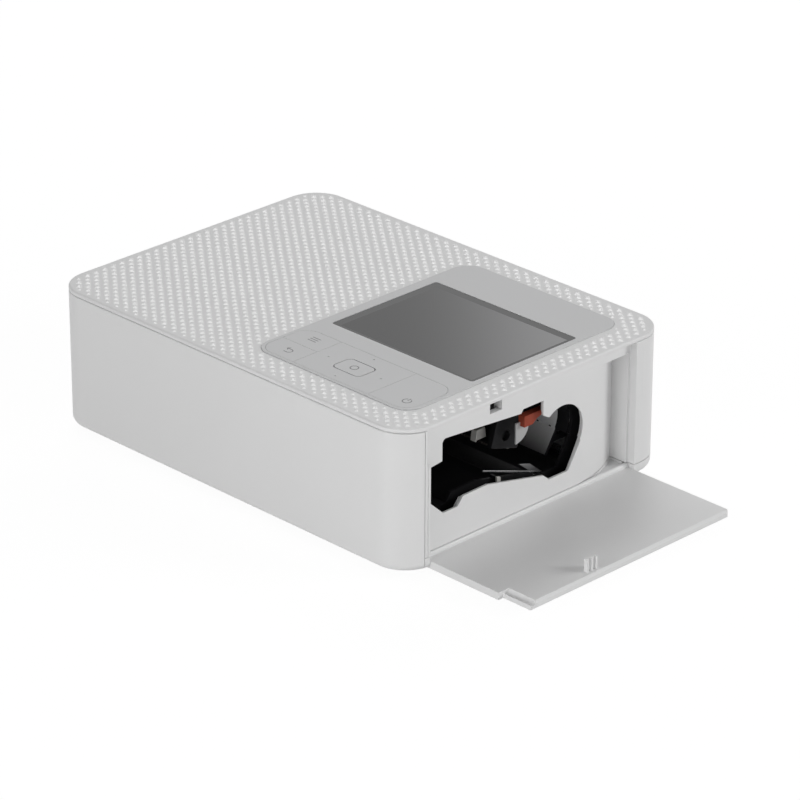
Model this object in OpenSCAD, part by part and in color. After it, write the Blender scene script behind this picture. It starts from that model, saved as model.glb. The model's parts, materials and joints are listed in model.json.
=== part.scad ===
// Compact photo printer with an open ribbon door.
// Origin: centre of the body's footprint on the table. +X right, -Y front, +Z up.

/* [Body] */
// Length of the body, left to right
body_l = 182.2; // [180:0.1:190]
// Depth of the body, front to back
body_d = 133; // [131:0.5:142]
// Height of the body, feet included
body_h = 57.6; // [57:0.1:62]
// Radius of the upright corners, in plan
corner_r = 13.5; // [12:0.5:15]
// Radius of the bottom edge
bottom_edge_r = 2.8; // [1.5:0.1:3.4]
// Thickness of the casing walls
wall = 2.4; // [2:0.1:2.6]
// Thickness of the floor
floor_t = 2; // [1.6:0.1:2.1]
// Height of the bottom case
base_h = 4.6; // [4.4:0.1:4.6]
// Gap at the seams between outer pieces
seam = 0.3; // [0.2:0.05:0.35]
// Height of the shell above the table
foot_h = 2.6; // [2.4:0.1:2.8]
// Radius of a foot
foot_r = 6; // [4:0.5:7]
// Distance of a foot from the sides of the body
foot_inset = 20; // [18:0.5:26]

/* [Top cover] */
// Thickness of the top cover
cover_t = 1.6; // [1.2:0.1:2]
// Radius of the top cover's upper edge
cover_edge_r = 0.8; // [0.3:0.1:1]
// Height of the raised lattice on the cover
lattice_h = 0.3; // [0.2:0.05:0.4]
// Radius of a cover peg
peg_r = 1.5; // [1.2:0.1:1.8]
// Length of a cover peg below its collar
peg_len = 6; // [4:0.5:8]

/* [Control panel] */
// Length of the control panel
panel_l = 77.4; // [76:0.1:80]
// Distance of the panel's back edge from the body's back
panel_in_back = 11.6; // [10:0.1:14]
// Distance of the panel's right edge from the body's right side
panel_in_x = 12.1; // [11:0.1:14]
// Distance of the panel's front edge from the body's front
panel_in_y = 12.9; // [12:0.1:15]
// Radius of the panel's corners
panel_r = 7.5; // [5:0.5:9]
// Width of the panel's flange under the cover
panel_flange = 2; // [1:0.5:3]
// Length of the display window
window_l = 70.1; // [66:0.1:71]
// Depth of the display window
window_d = 52.9; // [50:0.1:54]
// Thickness of the display window
window_t = 1.4; // [1:0.1:1.6]
// Distance of the window's right edge from the panel's right edge
window_in_x = 2.5; // [2.4:0.1:4]
// Distance of the window's front edge from the panel's front edge
window_in_y = 34.1; // [33:0.1:36]
// How far the window sits below the panel's face
window_sink = 0.15; // [0.05:0.05:0.3]
// Thickness of the screen module
screen_t = 3.8; // [3:0.1:4.4]
// Depth of the keypad zone
pad_d = 24; // [22:0.5:26]
// Distance of the keypad zone from the panel's front edge
pad_in_y = 1.2; // [1:0.1:3]
// Distance of the keypad zone from the panel's sides
pad_in_x = 1.6; // [1:0.1:3]
// Length of the menu key and the back key
menu_l = 17.6; // [14:0.1:20]
// Length of the power key
power_l = 19; // [16:0.1:22]
// Length of the round key in the middle of the pad
ok_l = 13.2; // [10:0.1:15]
// Depth of that key
ok_d = 9; // [7:0.1:10]
// Gap round the middle key
ok_gap = 0.4; // [0.2:0.05:0.6]
// Gap between neighbouring keys
key_gap = 0.14; // [0.1:0.02:0.3]
// Travel of a key
key_travel = 0.4; // [0.3:0.05:0.6]
// Thickness of a key cap
key_t = 2.2; // [1.8:0.1:2.4]

/* [Front door] */
// Thickness of the front door
fd_t = 2.2; // [1.8:0.1:2.4]
// Gap behind the front door
fd_gap = 0.35; // [0.3:0.05:0.5]
// How far the front door reaches back round the corners
fd_wrap = 9.9; // [9:0.1:11]
// Distance of the front door's pin from its outer face
fd_pin_in = 3.6; // [3.4:0.1:4]
// Gap between the open front door and the table
fd_table_gap = 0.4; // [0.3:0.05:0.8]
// Radius of the front door's pins
fd_pin_r = 0.8; // [0.6:0.05:0.9]
// Radius of the front door's knuckles
fd_knuckle_r = 1.6; // [1.5:0.05:1.7]
// Length of a front door knuckle
fd_knuckle_l = 8; // [5:0.5:12]
// Distance of the front door's knuckles from the middle
fd_knuckle_x = 64; // [50:1:68]

/* [Ribbon door] */
// Thickness of the ribbon door
rd_t = 2.85; // [2.4:0.05:2.9]
// Depth of the door's seat in the right side
seat_depth = 3.15; // [3:0.05:3.3]
// Distance of the seat's front edge from the body's front
seat_in_front = 12.4; // [12:0.1:14]
// Distance of the seat's back edge from the body's front
seat_in_back = 115.9; // [114:0.1:118]
// Distance of the door's pin from the body's right side
rd_pin_in = 3.55; // [3.5:0.05:3.7]
// Gap between the open ribbon door and the table
rd_table_gap = 2.7; // [2.6:0.05:2.8]
// Radius of the ribbon door's hinge rib
rd_knuckle_r = 0.95; // [0.9:0.05:1]
// Radius of the ribbon door's pins
rd_pin_r = 0.55; // [0.4:0.05:0.6]
// Length of a ribbon door pin
rd_pin_l = 5; // [4:0.5:8]
// Depth of the door's finger notch
notch_d = 2.3; // [1.5:0.1:3]
// Length of the door's finger notch
notch_l = 13.3; // [10:0.1:18]
// Height of the latch tab
latch_h = 5; // [3:0.5:6]
// Width of the latch tab
latch_w = 5; // [3:0.5:5.5]
// Distance of the latch tab from the body's front
latch_y = 47.2; // [40:0.5:60]
// Distance of the latch tab from the door's free end
latch_in = 2.9; // [2.5:0.1:4]
// Side of the latch hole, along the body
latch_hole_w = 6; // [6:0.1:8]

/* [Ribbon bay] */
// Length of the ribbon bay between the chassis plates
bay_l = 115.8; // [112:0.1:116]
// Thickness of a chassis plate
plate_t = 1.2; // [0.8:0.1:1.5]
// Gap between the seat wall and the right chassis plate
lever_room = 3.55; // [3.3:0.05:4]
// Thickness of the lip round the ribbon opening
lip_t = 0.8; // [0.6:0.1:1.2]
// How far the lip stands out of the wall
lip_back = 1.2; // [0.8:0.1:1.6]
// Gap between the chassis plates and the top cover
plate_gap = 5.2; // [4.9:0.1:5.5]
// Radius of the supply spool's lobe
lobe_r = 10.85; // [10:0.05:11.2]
// Height of the supply spool's axis
lobe_z = 30.4; // [30:0.1:31]
// Distance of the supply spool's axis from the body's front
lobe_y = 81.1; // [80.5:0.1:81.5]
// Height of the take-up spool's axis
take_z = 31; // [30:0.1:32]
// Distance of the take-up spool's axis from the body's front
take_y = 22.6; // [22:0.1:23]
// Clearance of the troughs round the cassette
trough_gap = 0.5; // [0.3:0.1:0.7]
// Radius of the scoop's curved wall
scoop_r = 55.6; // [50:0.2:62]
// Distance of the scoop's start from the body's front
scoop_y = 86.5; // [86:0.1:88]
// Distance of the scoop's end from the seat's back edge
scoop_in = 1; // [0.8:0.1:2]
// Thickness of the roof above the scoop, up to the cover
scoop_roof = 5.1; // [4.8:0.1:7.6]

/* [Print head] */
// Radius of the head's pivot shaft
pivot_r = 1.5; // [1.2:0.1:1.8]
// Height of the head's pivot
pivot_z = 34; // [33.5:0.1:34.5]
// Distance of the head's pivot from the body's front
pivot_y = 98.5; // [98:0.1:99]
// Angle that the raised head stands above the platen
head_lift = 17; // [14:0.5:17]
// Distance of the heating strip's ends from the chassis plates
head_in = 5.4; // [5:0.1:6.4]
// Thickness of the head's arms
arm_t = 2; // [1.2:0.1:2.4]

/* [Rollers] */
// Radius of the platen roller
platen_r = 5.2; // [4.8:0.1:5.3]
// Distance of the platen roller's ends from the chassis plates
platen_in = 3.9; // [3.4:0.1:5.9]
// Height of the platen's axis
platen_z = 10.5; // [10.4:0.1:10.6]
// Distance of the platen's axis from the body's front
platen_y = 70.5; // [70.2:0.1:70.8]
// Radius of the roller shafts
shaft_r = 1.5; // [1.2:0.1:1.6]
// Radius of the capstan roller
capstan_r = 3; // [2.4:0.1:3.2]
// Height of the capstan's axis
capstan_z = 9.8; // [9.8:0.1:10]
// Distance of the capstan's axis from the body's front
capstan_y = 100.5; // [100:0.1:101]
// Radius of the pinch roller
pinch_r = 2.6; // [2:0.1:2.8]
// Gap for the paper between capstan and pinch roller
paper_gap = 0.3; // [0.2:0.05:0.5]
// Radius of the pick-up rollers
pickup_r = 5.4; // [5:0.1:5.6]
// Height of the pick-up shaft
pickup_z = 13.6; // [13.4:0.1:13.8]
// Distance of the pick-up shaft from the body's front
pickup_y = 36.5; // [36:0.1:37]
// Radial clearance of shafts in their holes
shaft_gap = 0.05; // [0.03:0.01:0.1]

/* [Gears] */
// Gear module
gear_m = 0.5; // [0.48:0.01:0.5]
// Face width of the gears
gear_w = 3; // [2:0.1:3.4]
// Play between meshed teeth
backlash = 0.16; // [0.1:0.01:0.2]

/* [Paper path] */
// Distance of the paper slot's ends from the chassis plates
slot_in = 4.9; // [4.4:0.1:6.9]
// Height of the slot's top edge
slot_top = 17.2; // [16:0.1:17.4]
// Thickness of the dust flap
flap_t = 1.2; // [0.8:0.1:1.4]
// Thickness of the paper guide
guide_t = 1; // [0.8:0.1:1.2]

/* [Electronics] */
// Thickness of a circuit board
board_t = 1.6; // [1:0.1:1.8]
// How far the main board reaches in front of the card slot's middle
board_front = 40; // [36:0.5:42]
// How far the main board reaches behind the data socket's middle
board_back = 18; // [14:0.5:20]
// Side of the cooling fan
fan_a = 25; // [22:0.5:25]
// Thickness of the cooling fan
fan_t = 7.5; // [6:0.5:8]
// Radius of the feed motor
feed_motor_r = 10; // [8:0.5:10.5]
// Length of the motors
motor_l = 16; // [12:0.5:20]
// Radius of the ribbon motor and the lift motor
small_motor_r = 7; // [6:0.5:7.5]
// Length of a vent slot
vent_l = 20; // [14:0.5:22]
// Width of a vent slot
vent_w = 1.5; // [1.2:0.1:2]
// Spacing of the vent slots
vent_pitch = 3.2; // [3:0.1:4]

/* [Hidden] */

$fn = 48;
eps = 0.01;
far = 300;

// Outer planes of the body
right_x = body_l / 2;
front_y = -body_d / 2;
rear_y = body_d / 2;
shell_z = foot_h;
floor_z = shell_z + floor_t;
split_z = shell_z + base_h;
cover_z = body_h - lattice_h - cover_t;
cover_top = cover_z + cover_t;
casing_z = split_z + seam;
casing_top = cover_z - seam;

// Front door
fd_inset = fd_t + fd_gap;
fd_edge_y = front_y + fd_wrap;
strip_y = fd_edge_y + seam;
fd_pin_y = front_y + fd_pin_in;
fd_pin_z = fd_pin_in + fd_table_gap;
fd_room_y = front_y + 2 * fd_pin_in - 0.1;
fd_bottom = shell_z + 0.6;

// Seat of the ribbon door
seat_x = right_x - seat_depth;
seat_wall_x = seat_x - wall;
seat_y0 = front_y + seat_in_front;
seat_y1 = front_y + seat_in_back;
rd_pin_x = right_x - rd_pin_in;
rd_pin_z = rd_pin_in + rd_table_gap;
rd_top = casing_top;
sill_x = rd_pin_x - rd_knuckle_r - 0.4;
scoop_cx = seat_x - scoop_r;
scoop_y0 = front_y + scoop_y;
scoop_y1 = seat_y1 - scoop_in;
scoop_z = split_z - 0.9;
scoop_top = cover_z - scoop_roof;
finger_z = rd_top - notch_l;
latch_cy = front_y + latch_y;
latch_z = rd_top - latch_in;

// Room inside the casing
room_x = right_x - wall;
room_y = rear_y - wall;
front_room_x = right_x - fd_inset - wall;
front_room_y = front_y + fd_inset + wall;
back_room_y = seat_y1 + wall;

// Chassis
plate_scoop_gap = 0.4;
plate_x1 = seat_wall_x - lever_room - plate_t;
plate_x0 = plate_x1 - bay_l;
plate_top = cover_z - plate_gap;
bay_xc = (plate_x0 + plate_x1) / 2;
platen_l = bay_l - 2 * platen_in;
head_l = bay_l - 2 * head_in;
slot_l = bay_l - 2 * slot_in;
left_face = plate_x0 - plate_t;
plate_y0 = front_y + 13.6;
plate_y1 = pivot_y + front_y + 9;
// The right plate ends before the scoop's curved wall
right_plate_y1 = scoop_y0 + sqrt(pow(scoop_r - wall, 2)
  - pow(plate_x1 + plate_t + plate_scoop_gap - scoop_cx, 2));
lobe_yc = front_y + lobe_y;
take_yc = front_y + take_y;
pivot_yc = front_y + pivot_y;
platen_yc = front_y + platen_y;
capstan_yc = front_y + capstan_y;
pinch_zc = capstan_z + capstan_r + paper_gap + pinch_r;
pickup_yc = front_y + pickup_y;

// Corners of the ribbon opening: distance from the body's front, height above the table,
// and how each of the two grows with the clearance
bay_points = [[15.5, 25.5, -1, -0.5], [15.5, 39.3, -1, 1], [21, 39.9, -1, 1], [21, 46.3, -1, 1],
  [22.8, 48.1, 0, 1], [29, 47.6, 0, 1], [59.9, 45, -1, 1], [61, 46.4, -1, 1],
  [71.1, 46.4, 1, 1], [71.2, 40.6, 1, 1], [73.2, 39.4, 0, 0], [81.1, 36, 0, 0],
  [90.9, 24.6, 1, 0], [84.4, 14.6, 1, -1], [74.7, 14.6, -1, -1], [71.8, 17, -1, -1],
  [43.2, 23.3, 0, -1], [31.4, 23.1, 0, -1], [28.7, 19.9, 0, -1], [21.6, 19.9, -0.5, -1]];
// Rounded upper front corner of the opening: distance from the front, height, radius
bay_step = [22.8, 46.3, 1.8];

// Gear train: every gear lies in one plane left of the left chassis plate
gear_x1 = left_face - 2.6;
gear_x0 = gear_x1 - gear_w;
shaft_end_x = gear_x0 - 0.6;
right_end_x = plate_x1 + plate_t + 0.4;
platen_z_n = 20;
capstan_z_n = 18;
feed_idler_n = 56;
pickup_idler_n = 52;
pickup_n = 24;
feed_pinion_n = 14;
take_n = 40;
ribbon_pinion_n = 12;
sector_n = 56;
lift_pinion_n = 12;
function pitch_r(n) = n * gear_m / 2;
function mesh_d(a, b) = pitch_r(a) + pitch_r(b) + 0.02;
// Where two circles about p and q meet, on the upper side of the line p to q
function meet(p, ra, q, rb) = let (
    dv = q - p, d = norm(dv), a = (ra * ra - rb * rb + d * d) / (2 * d),
    h = sqrt(ra * ra - a * a), u = dv / d, w = [-u[1], u[0]],
    s = w[1] > 0 ? 1 : -1) p + a * u + s * h * w;
platen_p = [platen_yc, platen_z];
capstan_p = [capstan_yc, capstan_z];
pickup_p = [pickup_yc, pickup_z];
take_p = [take_yc, take_z];
pivot_p = [pivot_yc, pivot_z];
feed_idler_p = meet(platen_p, mesh_d(platen_z_n, feed_idler_n),
                    capstan_p, mesh_d(capstan_z_n, feed_idler_n));
pickup_idler_p = meet(pickup_p, mesh_d(pickup_n, pickup_idler_n),
                      platen_p, mesh_d(platen_z_n, pickup_idler_n));
feed_pinion_dir = 115;
feed_pinion_p = feed_idler_p
  + mesh_d(feed_idler_n, feed_pinion_n) * [cos(feed_pinion_dir), sin(feed_pinion_dir)];
ribbon_pinion_dir = 40;
ribbon_pinion_p = take_p
  + mesh_d(take_n, ribbon_pinion_n) * [cos(ribbon_pinion_dir), sin(ribbon_pinion_dir)];
lift_pinion_dir = -10;
lift_pinion_p = pivot_p
  + mesh_d(sector_n, lift_pinion_n) * [cos(lift_pinion_dir), sin(lift_pinion_dir)];
function heading(p, q) = atan2(q[1] - p[1], q[0] - p[0]);
// Tooth phase of gear b at q, meshed with gear a at p whose phase is pa
function phase(p, na, pa, q, nb) = let (
    t = heading(p, q), f = (t - pa) * na / 360)
    t + 180 + (f - floor(f) + 0.5) * 360 / nb;
feed_idler_a = 0;
platen_a = phase(feed_idler_p, feed_idler_n, feed_idler_a, platen_p, platen_z_n);
capstan_a = phase(feed_idler_p, feed_idler_n, feed_idler_a, capstan_p, capstan_z_n);
feed_pinion_a = phase(feed_idler_p, feed_idler_n, feed_idler_a, feed_pinion_p, feed_pinion_n);
pickup_idler_a = phase(platen_p, platen_z_n, platen_a, pickup_idler_p, pickup_idler_n);
pickup_a = phase(pickup_idler_p, pickup_idler_n, pickup_idler_a, pickup_p, pickup_n);
ribbon_pinion_a = phase(take_p, take_n, 0, ribbon_pinion_p, ribbon_pinion_n);
lift_pinion_a = phase(pivot_p, sector_n, 0, lift_pinion_p, lift_pinion_n);

// Control panel, in plan
panel_x1 = right_x - panel_in_x;
panel_x0 = panel_x1 - panel_l;
panel_y0 = front_y + panel_in_y;
panel_y1 = rear_y - panel_in_back;
panel_d = panel_y1 - panel_y0;
panel_z = cover_z - 0.8;
window_x1 = panel_x1 - window_in_x;
window_x0 = window_x1 - window_l;
window_y0 = panel_y0 + window_in_y;
window_y1 = window_y0 + window_d;
window_z1 = body_h - window_sink;
window_z = window_z1 - window_t;
pad_x0 = panel_x0 + pad_in_x;
pad_x1 = panel_x1 - pad_in_x;
pad_y0 = panel_y0 + pad_in_y;
pad_y1 = pad_y0 + pad_d;
pad_yc = (pad_y0 + pad_y1) / 2;
pad_r = panel_r - pad_in_y;
nav_x0 = pad_x0 + menu_l + key_gap;
nav_x1 = pad_x1 - power_l - key_gap;
ok_x = (nav_x0 + nav_x1) / 2;
key_z = body_h - key_t;
key_flange_z = panel_z - 0.1;
key_flange_t = 0.9;
key_board_top = key_flange_z - key_flange_t - key_travel - 1.8;
screen_z = panel_z - screen_t;

// Posts that carry the casing, as [x, y, radius]
post_top = cover_z - 5.7;
post_in = 8.1;
post_big = 3.6;
post_small = 2.9;
posts = [[-right_x + post_in, front_y + 14.2, post_big],
         [-right_x + post_in, rear_y - 8.8, post_big],
         [right_x - 10.5, rear_y - 8.6, post_big],
         [right_x - 8.7, front_y + 9.9, post_small]];
pilot_r = 1.25;
screw_r = 1.2;
screw_head_r = 2.3;
screw_head_t = 1.6;

shell_c = [0.9, 0.9, 0.9];
panel_c = [0.82, 0.82, 0.83];
dark_c = [0.08, 0.08, 0.09];
steel_c = [0.72, 0.73, 0.75];
gear_c = [0.93, 0.92, 0.88];
lever_c = [0.75, 0.28, 0.18];
rubber_c = [0.15, 0.15, 0.16];
board_c = [0.1, 0.35, 0.22];
brass_c = [0.8, 0.65, 0.35];

// Places and sizes of single pieces
// Pressure angle of the teeth, and points on a flank
pressure = 20;
flank_steps = 3;
// Fan, power inlet, main board and sockets
fan_zc = floor_z + 0.6 + fan_a / 2 + 4;
fan_y1 = room_y;
inlet_w = 9;
inlet_xc = left_face - inlet_w / 2 - 5.8;
inlet_z = floor_z + inlet_w / 2 + 1.5;
fan_xc = inlet_xc - inlet_w / 2 - 1 - fan_a / 2;
board_z = plate_top;
card_yc = -8;
card_w = 25;
card_t = 3;
card_l = 27;
data_yc = 16;
data_w = 9.2;
data_t = 3.3;
// Paper exit and dust flap
exit_z0 = capstan_z + capstan_r - 1.9;
exit_z1 = exit_z0 + 6.1;
flap_pin_y = front_room_y + 2.4;
flap_pin_z = slot_top + 0.2;
// Feet
foot_places = [for (x = [-1, 1], y = [front_y + foot_inset, rear_y - foot_inset])
  [x * (right_x - foot_inset), y]];
// Control panel's fits and posts
panel_fit = 0.12;
window_fit = 0.1;
window_ledge = 1.5;
board_posts = [for (x = [panel_x0 + 2, panel_x1 - 0.4], y = [pad_y0 - 0.6, pad_y1 + 2.2]) [x, y]];
// Centres of the switches under the keys
switch_places = [[(pad_x0 + nav_x0) / 2, pad_yc + pad_d / 4],
  [(pad_x0 + nav_x0) / 2, pad_yc - pad_d / 4], [ok_x, pad_yc],
  [nav_x0 + 3.4, pad_yc], [nav_x1 - 3.4, pad_yc], [ok_x, pad_y0 + 3], [ok_x, pad_y1 - 3],
  [(nav_x1 + pad_x1) / 2, pad_yc]];
// Dots on the pad, from its middle
dot_x = 13.1;
dot_y = 9.5;
flap_x0 = bay_xc - slot_l / 2 + 0.4;
flap_x1 = bay_xc + slot_l / 2 - 0.4;
flap_pin_r = 0.8;
// Ribbon door, lying open
rd_x0 = rd_pin_x - rd_knuckle_r;
rd_x1 = rd_pin_x + rd_top - rd_pin_z;
rd_y0 = seat_y0 + 0.2;
rd_y1 = seat_y1 - 0.2;
rd_out = rd_pin_z - rd_pin_in;
rd_in = rd_out + rd_t;
latch_x = rd_x1 - latch_in;
// Release lever and its spring
lever_x0 = plate_x1 + plate_t + 0.35;
lever_x1 = seat_wall_x - 0.3;
lever_y = front_y + 64.5;
lever_z = plate_top - 9.1;
lever_travel = 3.6;
stem_y = lever_y + 14.4;
stem_top = lever_z + 3.2;
spring_top = stem_top + 6.8;
// Bushes, bars and troughs
bush_r = shaft_r + 1.2;
bush_places = [platen_p, capstan_p, [capstan_yc, pinch_zc], pickup_p];
left_plate_y1 = lift_pinion_p[0] + 10;
bar_r = 2;
rear_bar_p = [pivot_yc + 4, 21];
bar_places = [[front_y + 32.5, plate_top - 1.9], [pivot_yc + 3, plate_top - 4.5], rear_bar_p];
trough_w = trough_gap + 1.2;
trough_x0 = plate_x0 + 5.4;
trough_x1 = plate_x1 - 5.4;
// Upper face of the paper guide, in (Y, Z)
guide_line = [[front_y + 29.5, 6.8], [front_y + 42.5, 8.4], [platen_yc - 9, 13],
  [platen_yc - 6.4, 14.2], [platen_yc + 6.4, 12.6], [capstan_yc - 4, 11.7],
  [rear_y - wall - 0.4, 11.7]];
guide_gap = 1.4;
guide_x0 = plate_x0 + guide_gap;
guide_x1 = plate_x1 - guide_gap;
// The rear part of the guide is narrower, clear of the post and the scoop
guide_rear_in = 1.6;
guide_rear_x0 = bay_xc - slot_l / 2 + guide_rear_in;
guide_rear_x1 = bay_xc + slot_l / 2 - guide_rear_in;
guide_rear_y = capstan_yc + capstan_r + 3.5;
rail_w = 2;
rail_top = 7.5;
// Print unit
contact_z = platen_z + platen_r + 0.25;
head_x0 = bay_xc - head_l / 2;
head_x1 = bay_xc + head_l / 2;
sink_z = contact_z + 1.4;
arm_in = lobe_r + 0.9;
arm_out = lobe_r + 3.6;
beam_z = sink_z + 8;
sector_hub_r = 2.7;
// Motors and spindles
motor_face = gear_x0 - 1.2;
pickup_places = [bay_xc - 22, bay_xc + 22];
spline_r = 4.2;
// Chips on the main board, as [x, y, length, depth, height]
board_top = board_z + board_t;
chips = [[-room_x + 20, card_yc + 4, 14, 14, 1.4], [-room_x + 16, card_yc - 20, 10, 10, 1.2]];
capacitor_x = left_face - 8;
capacitor_y = card_yc - 34;
capacitor_r = 2.6;
capacitor_h = 2;
capacitor_pitch = 8;
fan_y0 = fan_y1 - fan_t;
fan_r = fan_a / 2 - 1.1;
inlet_y1 = rear_y - 0.6;
plug_r = 2.75;

// Rounded rectangle between two corners
module plan_rect(x0, y0, x1, y1, r) {
  translate([x0 + r, y0]) square([x1 - x0 - 2 * r, y1 - y0]);
  translate([x0, y0 + r]) square([x1 - x0, y1 - y0 - 2 * r]);
  for (x = [x0 + r, x1 - r], y = [y0 + r, y1 - r]) translate([x, y]) circle(r);
}

module rounded_plate(x0, y0, x1, y1, r, z0, z1) {
  translate([0, 0, z0]) linear_extrude(z1 - z0) plan_rect(x0, y0, x1, y1, r);
}

module block(x0, y0, z0, x1, y1, z1) {
  translate([x0, y0, z0]) cube([x1 - x0, y1 - y0, z1 - z0]);
}

// Half section of a block whose upper and lower edges are rounded
module edge_section(w, h, low, high) {
  square([w - low, h / 2]);
  translate([0, h / 2]) square([w - high, h / 2]);
  translate([0, low]) square([w, h - low - high]);
  if (low > 0) intersection() {
    translate([w - low, low]) circle(low);
    square([w, h]);
  }
  if (high > 0) translate([w - high, h - high]) circle(high);
}

module full_section(w, h, low, high) {
  edge_section(w / 2, h, low, high);
  mirror([1, 0]) edge_section(w / 2, h, low, high);
}

// Block with upright corners of radius r and rounded lower and upper edges
module soft_block(l, d, h, r, low, high) {
  translate([-l / 2 + r, 0, 0]) rotate([90, 0, 90]) linear_extrude(l - 2 * r)
    full_section(d, h, low, high);
  translate([0, d / 2 - r, 0]) rotate([90, 0, 0]) linear_extrude(d - 2 * r)
    full_section(l, h, low, high);
  for (x = [-1, 1], y = [-1, 1])
    translate([x * (l / 2 - r), y * (d / 2 - r), 0]) rotate_extrude()
      edge_section(r, h, low, high);
}

// Extrudes a (Y, Z) outline along X from x0 to x1
module along_x(x0, x1) {
  translate([x0, 0, 0]) rotate([90, 0, 90]) linear_extrude(x1 - x0) children();
}

// Extrudes an (X, Z) outline along Y from y0 to y1
module along_y(y0, y1) {
  translate([0, y1, 0]) rotate([90, 0, 0]) linear_extrude(y1 - y0) children();
}

module rod_x(p, r, x0, x1) {
  along_x(x0, x1) translate(p) circle(r);
}

module rod_y(x, z, r, y0, y1) {
  along_y(y0, y1) translate([x, z]) circle(r);
}

module ring_x(p, r_out, r_in, x0, x1) {
  along_x(x0, x1) translate(p) difference() {
    circle(r_out);
    circle(r_in);
  }
}

// One flank point of an involute tooth at radius r, as an angle from the tooth's middle
function inv(a) = tan(a) * 180 / PI - a;
function tooth_half(r, n) = let (rp = pitch_r(n), rb = rp * cos(pressure),
    a = acos(min(1, rb / r)))
    90 / n - backlash / 2 / rp * 180 / PI + inv(pressure) - inv(a);
function tooth_points(n, k) = let (rp = pitch_r(n), rb = rp * cos(pressure),
    r0 = max(rp - 1.15 * gear_m, rb * 1.002), r1 = rp + 0.95 * gear_m,
    root = rp - 1.25 * gear_m, mid = k * 360 / n,
    foot = 0.65 * tooth_half(r0, n) + 0.35 * 180 / n)
    concat(
      [root * [cos(mid - foot), sin(mid - foot)]],
      [for (i = [0:flank_steps]) let (r = r0 + (r1 - r0) * i / flank_steps,
        a = mid - tooth_half(r, n)) r * [cos(a), sin(a)]],
      [for (i = [flank_steps:-1:0]) let (r = r0 + (r1 - r0) * i / flank_steps,
        a = mid + tooth_half(r, n)) r * [cos(a), sin(a)]],
      [root * [cos(mid + foot), sin(mid + foot)]]);
module gear_outline(n, first = 0, last = -1) {
  polygon([for (k = [first:(last < 0 ? n - 1 : last)], q = tooth_points(n, k)) q]);
}

// Spur gear on a shaft along X, with lightening holes where it is big enough
module gear_x(p, n, phase_a, bore_r, hub_r) {
  rim_in = pitch_r(n) - 3;
  translate([gear_x0, p[0], p[1]]) rotate([90, 0, 90]) difference() {
    linear_extrude(gear_w) rotate(phase_a) gear_outline(n);
    translate([0, 0, -eps]) cylinder(r = bore_r, h = far);
    if (rim_in > hub_r + 3)
      translate([0, 0, gear_w * 0.65]) linear_extrude(gear_w) difference() {
        circle(rim_in + 1);
        circle(hub_r);
      }
  }
}

function bay_corner(i) = [front_y + bay_points[i][0], bay_points[i][1]];

// Ribbon cassette's outline in (Y, Z), grown by g
module bay_outline(g) {
  polygon([for (p = bay_points) [front_y + p[0] + g * p[2], p[1] + g * p[3]]]);
  translate([front_y + bay_step[0], bay_step[1]]) circle(bay_step[2] + g);
  translate([lobe_yc, lobe_z]) circle(lobe_r + g);
}

// Region right of the scoop's curved wall, in plan
module scoop_outline(r, y0, y1) {
  difference() {
    translate([scoop_cx, y0]) square([scoop_r * 2, y1 - y0]);
    translate([scoop_cx, scoop_y0]) circle(r, $fn = 96);
  }
}

// Room inside the upper casing, in plan
module room_outline() {
  difference() {
    union() {
      plan_rect(-front_room_x, front_room_y, front_room_x, -front_room_y,
        corner_r - fd_inset - wall);
      difference() {
        plan_rect(-room_x, -room_y, room_x, room_y, corner_r - wall);
        translate([-far / 2, strip_y + wall - far]) square([far, far]);
      }
    }
    translate([seat_wall_x, -far / 2]) square([far, far / 2 + back_room_y]);
    scoop_outline(scoop_r - wall, scoop_y0, back_room_y);
  }
}

// Column of upright vent slots in (across, Z)
module vent_rows(count) {
  for (i = [0:count - 1]) translate([(i - (count - 1) / 2) * vent_pitch, 0]) {
    translate([-vent_w / 2, -vent_l / 2 + vent_w / 2]) square([vent_w, vent_l - vent_w]);
    for (z = [-1, 1]) translate([0, z * (vent_l - vent_w) / 2]) circle(vent_w / 2);
  }
}

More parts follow.
